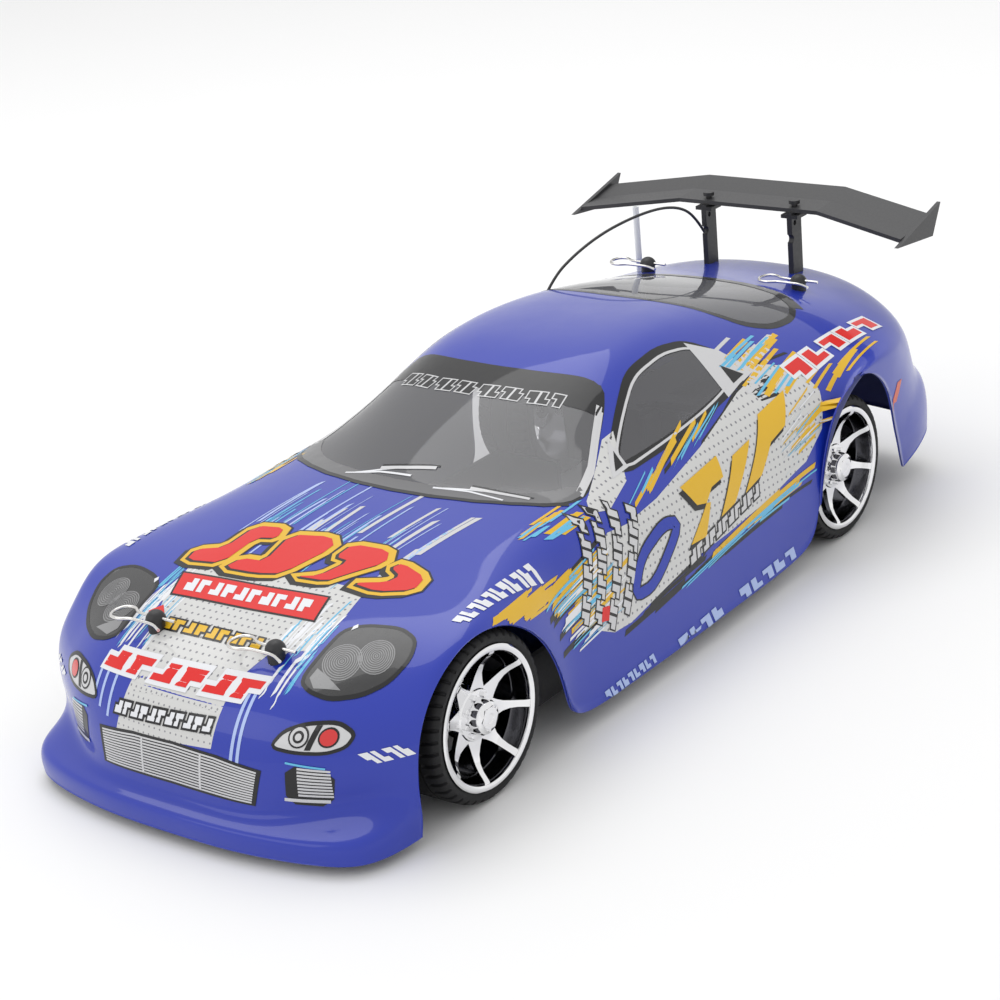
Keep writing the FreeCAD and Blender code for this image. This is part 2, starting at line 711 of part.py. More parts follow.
# ---------------------------------------------------------------- rear wing
def wing_solid():
    """A thin bent plate: flat in the middle, drooping to swept end plates."""
    chord, thickness = size("wing_chord"), size("wing_thickness")
    rise, droop = size("wing_rise"), size("wing_droop")
    lead = -half_length + size("wing_leading_setback") - 39
    base = size("wing_height")
    half_span, half_flat = size("wing_span") / 2, size("wing_flat") / 2
    end_lead = lead + 12
    sections = []
    for y, front, drop in ((-half_span, end_lead, droop), (-half_flat, lead, 0),
                           (half_flat, lead, 0), (half_span, end_lead, droop)):
        corners = [
            Vector(front, y, base - drop),
            Vector(front, y, base - drop + thickness),
            Vector(front - chord * 0.5, y, base - drop + thickness + rise * 0.25),
            Vector(front - chord, y, base - drop + thickness + rise),
            Vector(front - chord, y, base - drop + rise),
            Vector(front - chord * 0.5, y, base - drop + rise * 0.25),
        ]
        sections.append(Part.makePolygon(corners + corners[:1]))
    plate = Part.makeLoft(sections, True, True)
    pieces = [plate]
    for sign in (-1, 1):
        y = sign * half_span
        low, high = base - droop, base - droop + thickness + rise
        outline = [
            Vector(end_lead + 6, y, low - 0.5),
            Vector(end_lead - chord - 8, y, high + 3.4),
            Vector(end_lead - chord, y, low - 4),
        ]
        face = Part.Face(Part.makePolygon(outline + outline[:1]))
        pieces.append(face.extrude(Vector(0, sign * thickness, 0)))
    return pieces[0].multiFuse(pieces[1:]).removeSplitter().Solids[0]


wing = feature("wing_plate", wing_solid())
wing_screw_x = "strut_x - 1"
wing_holes = []
screws = []
struts = []
for side, sign in (("left", ""), ("right", "-")):
    y = sign + "strut_y"
    wing_holes.append(rod(side + "_wing_hole", "screw_diameter + 0.2", 20,
                          wing_screw_x, y, "wing_height - 8"))
    blade = box(side + "_blade", "strut_width", "strut_thickness",
                "wing_height - strut_deck_z + 8", "strut_x - strut_width / 2",
                "%s - strut_thickness / 2" % y, "strut_deck_z - 8")
    eye = rod(side + "_blade_eye", 2.4, 10, "strut_x + 1.5", "%s - 5" % y,
              "wing_height - 5", ALONG_Y)
    notch = rod(side + "_blade_notch", 4, 10, "strut_x + strut_width / 2 + 0.6", "%s - 5" % y,
                "wing_height - 12", ALONG_Y)
    pad = box(side + "_blade_pad", "strut_width", "strut_width", 1.6,
              "strut_x - strut_width / 2", "%s - strut_width / 2" % y, "wing_height - 2.6")
    trimmed = cut(side + "_strut", fuse(side + "_strut_body", blade, pad), eye, notch, wing,
                  rod(side + "_strut_bore", "screw_diameter", 12, wing_screw_x, y, "wing_height - 9"))
    struts.append(node(trimmed, "wing_strut_" + side))
    shank = rod(side + "_wing_screw_shank", "screw_diameter", 11, wing_screw_x, y, "wing_height - 7")
    head = rod(side + "_wing_screw_head", "screw_head_diameter", 1.6, wing_screw_x, y, "wing_height + 3.2")
    screws.append(fuse(side + "_wing_screw", shank, head))
rear_wing = node(cut("rear_wing", wing, *wing_holes), "rear_wing")

# ---------------------------------------------------------------- chassis tub
# A wide box between the wheels and a narrow spine to the bumper and to the roll pivot.

tub_floor = box("tub_floor", "tub_front_x - tub_rear_x", "tub_half_width * 2", "floor_thickness",
                "tub_rear_x", "-tub_half_width", "floor_height")
spine_floor = box("spine_floor", "spine_front_x - pivot_rear_x", "spine_half_width * 2",
                  "floor_thickness", "pivot_rear_x", "-spine_half_width", "floor_height")
walls = []
for side, y in (("left", "tub_half_width - tub_wall"), ("right", "-tub_half_width")):
    walls.append(box(side + "_tub_wall", "tub_front_x - tub_rear_x", "tub_wall",
                     "tub_wall_height + floor_thickness", "tub_rear_x", y, "floor_height"))
for end, x in (("front", "tub_front_x - tub_wall"), ("rear", "tub_rear_x")):
    for side, y in (("left", "spine_half_width"), ("right", "-tub_half_width")):
        walls.append(box("%s_%s_tub_end" % (end, side), "tub_wall",
                         "tub_half_width - spine_half_width", "tub_wall_height + floor_thickness",
                         x, y, "floor_height"))
bumper_block = box("bumper_block", "bumper_depth", "spine_half_width * 2 - 4", "bumper_height",
                   "spine_front_x - 1", "-spine_half_width + 2", "floor_top")
front_bumper = node(bumper_block, "front_bumper")

# ---------------------------------------------------------------- front suspension
beam_bottom = box("beam_bottom", "beam_width", "kingpin_y * 2 + 10", "beam_thickness",
                  "front_axle_x - beam_width / 2", "-kingpin_y - 5", "floor_top")
pillars = []
for side, y in (("left", "kingpin_y - pillar_inset - pillar_width"),
                ("right", "-kingpin_y + pillar_inset")):
    pillars.append(box(side + "_pillar", "beam_width", "pillar_width",
                       "top_plate_height - floor_top",
                       "front_axle_x - beam_width / 2", y, "floor_top"))
beam_bores = []
plate_bores = []
kingpins = []
for side, y in (("left", "kingpin_y"), ("right", "-kingpin_y")):
    beam_bores.append(rod(side + "_beam_bore", "kingpin_diameter", 12, "front_axle_x", y,
                          "floor_top - 1"))
    plate_bores.append(rod(side + "_plate_bore", "kingpin_diameter", 12, "front_axle_x", y,
                           "top_plate_height - 2"))
    kingpins.append(rod(side + "_kingpin", "kingpin_diameter",
                        "top_plate_height + top_plate_thickness - floor_top",
                        "front_axle_x", y, "floor_top"))
front_beam_body = fuse("front_beam_body", beam_bottom, *pillars)
top_plate = box("top_plate", "beam_width", "kingpin_y * 2 + 10", "top_plate_thickness",
                "front_axle_x - beam_width / 2", "-kingpin_y - 5", "top_plate_height")
front_top_plate = node(cut("front_top_plate", top_plate, *plate_bores), "front_top_plate")
kingpin_pair = node(group("kingpin_pair", *kingpins), "kingpins")


def knuckle(side, sign):
    """A block on the kingpin with the stub axle outwards and the arm to the rear."""
    y = sign + "kingpin_y"
    block = box(side + "_block", "knuckle_length", "knuckle_width", "knuckle_height",
                "front_axle_x - knuckle_length / 2", "%s - knuckle_width / 2" % y, "knuckle_low")
    outward = ALONG_Y if sign == "" else Rotation(Vector(1, 0, 0), 90)
    stub = rod(side + "_stub", "axle_diameter", "wheel_face_y - kingpin_y - 1",
               "front_axle_x", y, "axle_height", outward)
    arm = box(side + "_arm", "steering_arm + 3", 6, 3, "link_x - 3", "%s - 3" % y, "knuckle_low")
    pin = rod(side + "_arm_pin", "link_pin_diameter", "knuckle_height - 2.5",
              "link_x", y, "knuckle_low + 2")
    bore = rod(side + "_knuckle_bore", "kingpin_diameter + 2 * running_clearance",
               "knuckle_height * 2", "front_axle_x", y, "knuckle_low - knuckle_height / 2")
    shoulder = rod(side + "_shoulder", 9, "wheel_back_y - kingpin_y + 1 - side_play",
                   "front_axle_x", y, "axle_height", outward)
    return cut(side + "_knuckle", fuse(side + "_knuckle_body", block, stub, shoulder, arm, pin), bore)


def coil_spring(radius, wire, turns, height, runs_per_turn=16):
    """A spring wire that rises in short straight runs, mitred, between two flat seats."""
    runs = int(turns * runs_per_turn)
    points = []
    for i in range(runs + 1):
        angle = 2 * math.pi * i / runs_per_turn
        points.append(Vector(radius * math.cos(angle), radius * math.sin(angle),
                             wire / 2 + (height - wire) * i / runs))
    disc = Part.Wire(Part.Circle(points[0], points[1] - points[0], wire / 2).toShape())
    sweep = Part.BRepOffsetAPI.MakePipeShell(Part.makePolygon(points))
    sweep.add(disc)
    sweep.setTransitionMode(1)
    sweep.setFrenetMode(True)
    sweep.build()
    sweep.makeSolid()
    return sweep.shape()


for side, sign in (("left", ""), ("right", "-")):
    node(knuckle(side, sign), side + "_steering_knuckle")
    y = sign + "kingpin_y"
    ring = rod(side + "_collar_ring", "collar_diameter", "collar_height",
               "front_axle_x", y, "knuckle_top")
    ring_bore = rod(side + "_collar_bore", "kingpin_diameter + 2 * running_clearance", 20,
                    "front_axle_x", y, "knuckle_top - 5")
    node(cut(side + "_collar", ring, ring_bore), side + "_spring_collar")
    seat_z = knuckle_top + size("collar_height")
    coil = coil_spring(size("kingpin_diameter") / 2 + 1.2, size("spring_wire"),
                       size("spring_turns"), size("top_plate_height") - seat_z)
    coil_place = Vector(front_axle_x, kingpin_y if sign == "" else -kingpin_y, seat_z)
    node(feature(side + "_front_coil", coil, coil_place), side + "_front_spring")

# ---------------------------------------------------------------- steering
slot_across = "link_pin_diameter + 2 * link_slot_play"
bar = box("link_bar", "link_bar_width", "kingpin_y * 2 + 8", "link_bar_thickness",
          "link_x - 3", "-kingpin_y - 4", "link_z")
middle = box("link_middle", "link_bar_thickness", 10, 13, "link_x - 1.5", -5, "link_z - 5")
link_slots = []
for side, y in (("left", "kingpin_y"), ("right", "-kingpin_y")):
    link_slots.append(box(side + "_link_slot", "link_pin_diameter + 2.4", slot_across, 10,
                          "link_x - link_pin_diameter / 2 - 0.3",
                          "%s - (%s) / 2" % (y, slot_across), "link_z - 4"))
link_slots.append(box("servo_slot", 20, slot_across, 8, "link_x - 10",
                      "-(%s) / 2" % slot_across,
                      "servo_axis_z + servo_arm_length - link_pin_diameter / 2 - 3.2"))
steering_link = node(cut("link", fuse("link_body", bar, middle), *link_slots), "steering_link")

servo_case = box("servo_case", "servo_depth", "servo_length", "servo_width",
                 "servo_front_x - servo_depth", "-servo_length * 0.75", "floor_top")
servo_ears = box("servo_ears", "servo_ear_thickness", "servo_length + 2 * servo_ear_reach",
                 "servo_width", "servo_front_x - 10",
                 "-servo_length * 0.75 - servo_ear_reach", "floor_top")
servo_boss = rod("servo_boss", 5, 1.2, "servo_front_x", 0, "servo_axis_z", ALONG_X)
steering_servo = node(fuse("servo", servo_case, servo_ears, servo_boss), "steering_servo")
arm_hub = rod("arm_hub", "servo_hub_diameter", 2.6, "servo_front_x + 1.4", 0, "servo_axis_z", ALONG_X)
arm_blade = box("arm_blade", 2, 5, "servo_arm_length", "servo_front_x + 1.7", -2.5, "servo_axis_z")
arm_pin = rod("arm_pin", "link_pin_diameter", 9.6, "servo_front_x + 1.7", 0,
              "servo_axis_z + servo_arm_length", ALONG_X)
servo_arm = node(fuse("servo_lever", arm_hub, arm_blade, arm_pin), "servo_arm")

# ---------------------------------------------------------------- wheels
rim_r = "rim_diameter / 2"
seat_r = "(rim_diameter / 2 - bead_depth)"
bore_front = "(axle_diameter / 2 + running_clearance)"


def wheel_profile(bore):
    """Half section of a rim, radius against the distance out from its back edge."""
    disc_back = "rim_width - spoke_recess - spoke_thickness"
    disc_front = "rim_width - spoke_recess"
    inside = "(%s - barrel_wall)" % seat_r
    hub = "wheel_hub_diameter / 2"
    return [
        (bore, "1"), (hub, "1"), (hub, disc_back), (inside, disc_back),
        (inside, "0"), (rim_r, "0"), (rim_r, "rim_lip"), (seat_r, "rim_lip"),
        (seat_r, "rim_width - rim_lip"), (rim_r, "rim_width - rim_lip"), (rim_r, "rim_width"),
        (inside, "rim_width"), (inside, disc_front), (bore, disc_front),
    ]


def spoked_rim(name, bore):
    """A turned rim with eight windows cut through its disc."""
    body = revolved(name, wheel_profile(bore))
    inner_r = "wheel_hub_diameter / 2 + 0.8"
    outer_r = "%s - barrel_wall - 0.6" % seat_r
    half_window = "(%s) * 0.38 - spoke_width / 2"
    window = sketch_outline(body, name + "_window", "XZ_Plane", [
        ("-(%s)" % half_window % inner_r, inner_r), (half_window % inner_r, inner_r),
        (half_window % outer_r, outer_r), ("-(%s)" % half_window % outer_r, outer_r)])
    pocket = body.newObject("PartDesign::Pocket", name + "_pocket")
    pocket.Profile = window
    pocket.Type = 1
    pocket.Midplane = True
    around = body.newObject("PartDesign::PolarPattern", name + "_windows")
    around.Originals = [pocket]
    axis = [p for p in body.Origin.OriginFeatures if p.Role == "Y_Axis"][0]
    around.Axis = (axis, [""])
    around.Angle = 360
    around.Occurrences = 8
    body.Tip = around
    return body


def tyre_profile():
    bulge = "(%s + 0.15)" % rim_r
    tread = "tyre_diameter / 2"
    return [
        (seat_r, "rim_lip"), (bulge, "rim_lip"), (bulge, "0.9"), ("%s - 2.6" % tread, "0.4"),
        ("%s - 0.8" % tread, "1.6"), (tread, "3.4"), (tread, "rim_width - 3.4"),
        ("%s - 0.8" % tread, "rim_width - 1.6"), ("%s - 2.6" % tread, "rim_width - 0.4"),
        (bulge, "rim_width - 0.9"), (bulge, "rim_width - rim_lip"), (seat_r, "rim_width - rim_lip"),
    ]


def hub_nut(name):
    """A hexagon nut on the axle's end."""
    prism = document.addObject("Part::Prism", name + "_prism")
    prism.Polygon = 6
    prism.setExpression("Circumradius", bound("wheel_nut_flats / sqrt(3)"))
    prism.setExpression("Height", bound("wheel_nut_height"))
    return prism


WHEELS = (("left_front", "front_axle_x", 1), ("right_front", "front_axle_x", -1),
          ("left_rear", "rear_axle_x", 1), ("right_rear", "rear_axle_x", -1))
rear_nuts = []
for name, x, sign in WHEELS:
    front = "front" in name
    bore = bore_front if front else "(axle_diameter / 2)"
    y = "wheel_back_y" if sign > 0 else "-wheel_back_y"
    turn = None if sign > 0 else TURNED
    node(at(spoked_rim(name + "_rim_body", bore), x, y, "axle_height", turn), name + "_rim")
    node(at(revolved(name + "_tyre_body", tyre_profile()), x, y, "axle_height", turn), name + "_tyre")
    gap = "side_play" if front else "0"
    start = "wheel_face_y - spoke_recess + %s" % gap
    prism = hub_nut(name)
    way = ALONG_Y if sign > 0 else Rotation(Vector(1, 0, 0), 90)
    at(prism, x, start if sign > 0 else "-(%s)" % start, "axle_height", way)
    hole = rod(name + "_nut_bore", "axle_diameter", "wheel_nut_height * 3", x,
               ("%s - wheel_nut_height" if sign > 0 else "-(%s) + wheel_nut_height") % start,
               "axle_height", way)
    nut = cut(name + "_nut", prism, hole)
    if front:
        node(nut, name + "_wheel_nut")
    else:
        rear_nuts.append(nut)
rear_wheel_nuts = node(group("rear_nuts", *rear_nuts), "rear_wheel_nuts")

# ---------------------------------------------------------------- rear drive


def gear_face_shape(teeth, phase):
    """Outline of a spur gear in the XZ plane; phase turns it, in teeth."""
    module = size("gear_module")
    pitch_r = teeth * module / 2
    tip_r = pitch_r + module * 0.9
    root_r = pitch_r - module * 1.2
    step = 2 * math.pi / teeth
    thick = math.pi * module / 2 - size("gear_backlash")
    corners = []
    for i in range(teeth):
        middle = (i + phase) * step
        for radius, half in ((root_r, thick * 0.62), (pitch_r, thick * 0.5), (tip_r, thick * 0.22)):
            angle = middle - half / radius
            corners.append(Vector(radius * math.cos(angle), 0, radius * math.sin(angle)))
        for radius, half in ((tip_r, thick * 0.22), (pitch_r, thick * 0.5), (root_r, thick * 0.62)):
            angle = middle + half / radius
            corners.append(Vector(radius * math.cos(angle), 0, radius * math.sin(angle)))
    return Part.Face(Part.makePolygon(corners + corners[:1]))


def spur_gear(teeth, phase, face, bore, start=0):
    """A spur gear on the Y axis, from a start along it."""
    outline = gear_face_shape(teeth, phase)
    outline.translate(Vector(0, start, 0))
    gear = outline.extrude(Vector(0, face, 0))
    if not bore:
        return gear
    return gear.cut(Part.makeCylinder(bore / 2, face * 3, Vector(0, start - face, 0),
                                      Vector(0, 1, 0)))


def meshing_phase(teeth, heading, partner_teeth, partner_phase, partner_heading):
    """Turn a gear so that a gap faces the partner's tooth along their centre line."""
    partner_position = partner_heading * partner_teeth / (2 * math.pi) - partner_phase
    offset = partner_position - round(partner_position)
    own_position = heading * teeth / (2 * math.pi)
    return own_position - 0.5 + offset


face = size("gear_face")
to_idler = math.atan2(idler_z - axle_height, idler_x - rear_axle_x)
to_pinion = math.atan2(pinion_z - idler_z, pinion_x - idler_x)
small_phase = meshing_phase(size("idler_small_teeth"), to_idler + math.pi,
                            size("final_teeth"), 0, to_idler)
final_gear = node(feature(
    "final_gear_body",
    spur_gear(int(size("final_teeth")), 0, face, size("axle_diameter")),
    Vector(rear_axle_x, gear_low_y, axle_height)), "final_gear")
idler_bore = size("idler_pin_diameter") + 2 * size("running_clearance")
small = spur_gear(int(size("idler_small_teeth")), small_phase, face + 2.5, idler_bore)
large = spur_gear(int(size("idler_large_teeth")), 0, face - 0.5, idler_bore, face + 2.5)
idler_gear = node(feature("idler_gear_body", small.fuse(large),
                          Vector(idler_x, gear_low_y - 0.5, idler_z)), "idler_gear")
pinion_phase = meshing_phase(size("pinion_teeth"), to_pinion + math.pi,
                             size("idler_large_teeth"), 0, to_pinion)
pinion = spur_gear(int(size("pinion_teeth")), pinion_phase, face + 0.5, 0)
shaft_start = case_low_y + 0.3 - (gear_high_y - 0.5)
shaft = Part.makeCylinder(size("motor_shaft_diameter") / 2, case_high_y - case_low_y - 0.8,
                          Vector(0, shaft_start, 0), Vector(0, 1, 0))
motor_pinion = node(feature("motor_pinion_body", pinion.fuse(shaft),
                            Vector(pinion_x, gear_high_y - 0.5, pinion_z)), "motor_pinion")

case_outside = box("case_outside", "roll_plate_x - case_rear_x", "case_high_y - case_low_y",
                   "case_high_z - case_low_z", "case_rear_x", "case_low_y", "case_low_z")
case_inside = box("case_inside", "roll_plate_x - case_rear_x - 2 * gear_wall",
                  "case_high_y - case_low_y", "case_high_z - case_low_z - 2 * gear_wall",
                  "case_rear_x + gear_wall", "case_low_y + gear_wall", "case_low_z + gear_wall")
roll_plate = box("roll_plate", "roll_plate_thickness", "2 * (arm_y + bearing_width)",
                 "roll_plate_height", "roll_plate_x", "-arm_y - bearing_width",
                 "roll_spring_seat - roll_plate_height")
case_pieces = [roll_plate]
case_bores = []
bearings = []
seats = []
for side, y in (("left", "arm_y"), ("right", "-arm_y - bearing_width")):
    case_pieces.append(box(
        side + "_axle_arm", "roll_plate_x + roll_plate_thickness - rear_axle_x + bearing_diameter * 0.8",
        "bearing_width", "axle_arm_height", "rear_axle_x - bearing_diameter * 0.8", y,
        "axle_height - axle_arm_height / 2"))
    case_bores.append(rod(side + "_bearing_bore", "bearing_diameter", "bearing_width * 3",
                          "rear_axle_x", "%s - bearing_width" % y, "axle_height", ALONG_Y))
    ring = rod(side + "_bearing_ring", "bearing_diameter", "bearing_width", "rear_axle_x", y,
               "axle_height", ALONG_Y)
    ring_bore = rod(side + "_bearing_inside", "axle_diameter + 2 * running_clearance",
                    "bearing_width * 3", "rear_axle_x", "%s - bearing_width" % y,
                    "axle_height", ALONG_Y)
    bearings.append(cut(side + "_bearing", ring, ring_bore))
for side, sign in (("left", ""), ("right", "-")):
    case_pieces.append(box(side + "_spring_seat", "spring_seat_length", "spring_seat_length",
                           "spring_seat_thickness",
                           "roll_plate_x + roll_plate_thickness / 2 - spring_seat_length / 2",
                           "%sroll_spring_spread - spring_seat_length / 2" % sign,
                           "roll_spring_seat - spring_seat_thickness"))
case_bores += [
    rod("case_axle_hole", "axle_diameter + 2", "case_high_y * 2", "rear_axle_x",
        "case_low_y - 5", "axle_height", ALONG_Y),
    rod("case_idler_hole", "idler_pin_diameter", "case_high_y * 2", "idler_x", "case_low_y - 5",
        "idler_z", ALONG_Y),
    rod("case_motor_hole", 6, 12, "pinion_x", "case_low_y - 5", "pinion_z", ALONG_Y),
    rod("roll_bore", "roll_pin_diameter + 2 * running_clearance", 10, "roll_plate_x - 3", 0,
        "axle_height", ALONG_X),
    rod("roll_head_pocket", 11, 6, "roll_plate_x - 6", 0, "axle_height", ALONG_X),
]
hollow_case = cut("hollow_case", case_outside, case_inside)
gearbox_case = node(cut("gearbox", fuse("gearbox_body", hollow_case, *case_pieces), *case_bores),
                    "gearbox_case")
cover_plate = box("cover_plate", "roll_plate_x - case_rear_x", "gear_wall",
                  "case_high_z - case_low_z", "case_rear_x", "case_high_y", "case_low_z")
cover_holes = [
    rod("cover_axle_hole", "axle_diameter + 2", 12, "rear_axle_x", "case_high_y - 5",
        "axle_height", ALONG_Y),
    rod("cover_idler_hole", "idler_pin_diameter", 12, "idler_x", "case_high_y - 5", "idler_z",
        ALONG_Y),
]
gearbox_cover = node(cut("cover", cover_plate, *cover_holes), "gearbox_cover")
axle_bearings = node(group("bearing_pair", *bearings), "axle_bearings")
idler_pin = node(rod("idler_rod", "idler_pin_diameter", "case_high_y + gear_wall - case_low_y",
                     "idler_x", "case_low_y", "idler_z", ALONG_Y), "idler_pin")
rear_axle = node(rod("rear_rod", "axle_diameter", "wheel_face_y * 2 - 1", "rear_axle_x",
                     "-wheel_face_y + 0.5", "axle_height", ALONG_Y), "rear_axle")
motor_can = rod("motor_can", "motor_diameter", "motor_length", "pinion_x",
                "case_low_y - motor_length", "pinion_z", ALONG_Y)
motor_boss = rod("motor_boss", 9, 2, "pinion_x", "case_low_y - motor_length - 2", "pinion_z", ALONG_Y)
drive_motor = node(fuse("motor", motor_can, motor_boss), "drive_motor")

roll_pin = rod("roll_rod", "roll_pin_diameter", "pivot_rear_x + 12 - roll_plate_x + 0.4",
               "roll_plate_x - 0.4", 0, "axle_height", ALONG_X)
roll_head = rod("roll_head", 9, 2, "roll_plate_x - 2.4", 0, "axle_height", ALONG_X)
roll_pivot_pin = node(fuse("roll_pivot", roll_pin, roll_head), "roll_pivot_pin")

mount_block = box("mount_block", "pivot_mount_length", "pivot_mount_width",
                  "deck_plate_height - floor_top", "pivot_rear_x", "-pivot_mount_width / 2",
                  "floor_top")
mount_bore = rod("mount_bore", "roll_pin_diameter", 12, "pivot_rear_x", 0, "axle_height", ALONG_X)

deck_spine = box("deck_spine", "pivot_rear_x + pivot_mount_length - (rear_post_x + 6)", 24,
                 "deck_plate_thickness", "rear_post_x + 6", -12, "deck_plate_height")
deck_cross = box("deck_cross", 20, "rear_post_y * 2 + 30", "deck_plate_thickness",
                 "rear_post_x - 13", "-rear_post_y - 15", "deck_plate_height")
deck_seat = box("deck_seat", 10, 60, "deck_plate_thickness", "roll_plate_x - 3.5", -30,
                "deck_plate_height")
deck_body = fuse("deck_body", deck_spine, deck_cross, deck_seat)

screw_spots = [("front_axle_x", "-kingpin_y + 22"), ("front_axle_x", "kingpin_y - 22"),
               ("pivot_rear_x + pivot_mount_length / 2", "-9"),
               ("pivot_rear_x + pivot_mount_length / 2", "9")]
floor_screws = []
floor_screw_bores = []
floor_screw_seats = []
for number, (x, y) in enumerate(screw_spots):
    shank = rod("floor_screw_shank_%d" % number, "screw_diameter", "screw_length", x, y,
                "floor_height")
    head = rod("floor_screw_head_%d" % number, "screw_head_diameter", "screw_head_height",
               x, y, "floor_height")
    floor_screws.append(fuse("floor_screw_%d" % number, shank, head))
    floor_screw_bores.append(rod("floor_screw_bore_%d" % number, "screw_diameter",
                                 "screw_length", x, y, "floor_height"))
    floor_screw_seats.append(rod("floor_screw_seat_%d" % number, "screw_head_diameter",
                                 "2 * screw_head_height", x, y,
                                 "floor_height - screw_head_height"))
for number, y in enumerate((-9, 9)):
    x, z = "pivot_rear_x + pivot_mount_length / 2", "deck_top - screw_length"
    shank = rod("deck_screw_shank_%d" % number, "screw_diameter", "screw_length", x, y, z)
    head = rod("deck_screw_head_%d" % number, "screw_head_diameter", "screw_head_height",
               x, y, "deck_top")
    floor_screws.append(fuse("deck_screw_%d" % number, shank, head))
    floor_screw_bores.append(rod("deck_screw_bore_%d" % number, "screw_diameter",
                                 "screw_length", x, y, z))
front_beam = node(cut("front_beam_bored", front_beam_body, *(beam_bores + floor_screw_bores[:2])),
                  "front_beam")
all_screws = node(group("all_screws", *(floor_screws + screws)), "screws")
pivot_mount = node(cut("pivot_mount_block", mount_block, mount_bore, *floor_screw_bores[2:]),
                   "rear_pivot_mount")
deck_plate = node(cut("deck_plate_body", deck_body, *floor_screw_bores[4:]), "rear_deck_plate")

coil_foot = size("roll_spring_seat") + size("roll_spring_play")
for side, sign in (("left", 1), ("right", -1)):
    coil = coil_spring(size("roll_spring_radius"), size("spring_wire"), size("spring_turns"),
                       size("deck_plate_height") - coil_foot)
    coil_place = Vector(roll_plate_x + size("roll_plate_thickness") / 2,
                        sign * size("roll_spring_spread"), coil_foot)
    node(feature(side + "_roll_coil", coil, coil_place), side + "_rear_spring")

# ---------------------------------------------------------------- inside the tub

battery = box("battery", "battery_length", "battery_width", "battery_height",
              "tub_middle_x - battery_length / 2", "battery_left_y - battery_width", "floor_top")
battery_pack = node(battery, "battery_pack")
ears = []
for end, x in (("front", "tub_middle_x + strap_width / 2 + side_play"),
               ("rear", "tub_middle_x - strap_width / 2 - side_play - strap_ear_length")):
    ears.append(box(end + "_strap_ear", "strap_ear_length", "strap_ear_width",
                    "strap_pin_z + strap_ear_length - floor_height - strap_ear_foot", x,
                    "strap_pin_y - strap_ear_width / 2", "floor_height + strap_ear_foot"))
strap_post = box("strap_post", 8, 4, "strap_z - 0.2 - floor_top", "tub_middle_x - 4",
                 "battery_left_y - battery_width - 6", "floor_top")
ear_bore = rod("ear_bore", "hinge_pin_diameter", 40, "tub_middle_x - 20", "strap_pin_y",
               "strap_pin_z", ALONG_X)
strap_pin = node(rod("strap_rod", "hinge_pin_diameter",
                     "strap_width + 2 * (side_play + strap_ear_length)",
                     "tub_middle_x - strap_width / 2 - side_play - strap_ear_length",
                     "strap_pin_y", "strap_pin_z", ALONG_X), "strap_hinge_pin")
barrel = rod("strap_barrel", "strap_barrel_diameter", "strap_width", "tub_middle_x - strap_width / 2", "strap_pin_y",
             "strap_pin_z", ALONG_X)
riser = box("strap_riser_plate", "strap_width", "strap_riser",
            "strap_z + strap_thickness - strap_pin_z",
            "tub_middle_x - strap_width / 2", "strap_pin_y - strap_riser / 2", "strap_pin_z")
blade = box("strap_blade", "strap_width", "strap_pin_y - battery_left_y + battery_width + 7",
            "strap_thickness", "tub_middle_x - strap_width / 2",
            "battery_left_y - battery_width - 7", "strap_z")
strap_bore = rod("strap_bore", "hinge_pin_diameter + 2 * running_clearance", 60,
                 "tub_middle_x - 30", "strap_pin_y", "strap_pin_z", ALONG_X)
battery_strap = node(cut("strap", fuse("strap_body", barrel, riser, blade), strap_bore),
                     "battery_strap")

tray = box("tray", "receiver_length", "receiver_width", "receiver_height", "receiver_x",
           "receiver_y", "floor_top")
tray_inside = box("tray_inside", "receiver_length - 2 * receiver_wall",
                  "receiver_width - 2 * receiver_wall", "receiver_height",
                  "receiver_x + receiver_wall", "receiver_y + receiver_wall",
                  "floor_top + receiver_wall")
receiver_box = node(cut("receiver_tray", tray, tray_inside), "receiver_box")
receiver_cover = node(box("receiver_lid", "receiver_length", "receiver_width",
                          "receiver_wall", "receiver_x", "receiver_y",
                          "floor_top + receiver_height"), "receiver_cover")
board = box("circuit_board_plate", "receiver_length - 2 * board_margin",
            "receiver_width - 2 * board_margin", "board_thickness",
            "receiver_x + board_margin", "receiver_y + board_margin",
            "floor_top + receiver_wall")
circuit_board = node(board, "circuit_board")

slot_length = "(slider_length + 2 * switch_travel + 0.2)"
slot_width = "(slider_width + 0.2)"
switch_slot = box("switch_slot", slot_length, slot_width, "3 * floor_thickness",
                  "switch_x - %s / 2" % slot_length, "switch_y - %s / 2" % slot_width,
                  "floor_height - floor_thickness")
switch_body = node(box("switch_case", "switch_length", "switch_width", "switch_height",
                       "switch_x - switch_length / 2", "switch_y - switch_width / 2",
                       "floor_top"), "power_switch")
slider = node(box("switch_knob", "slider_length", "slider_width", "floor_thickness - 0.3",
                  "switch_x - slider_length / 2", "switch_y - slider_width / 2",
                  "floor_height + 0.2"), "switch_slider")
chassis_tub = node(cut("tub", fuse("tub_shape", tub_floor, spine_floor, strap_post, *(walls + ears)),
                       switch_slot, ear_bore, *(floor_screw_bores[:4] + floor_screw_seats)),
                   "chassis_tub")

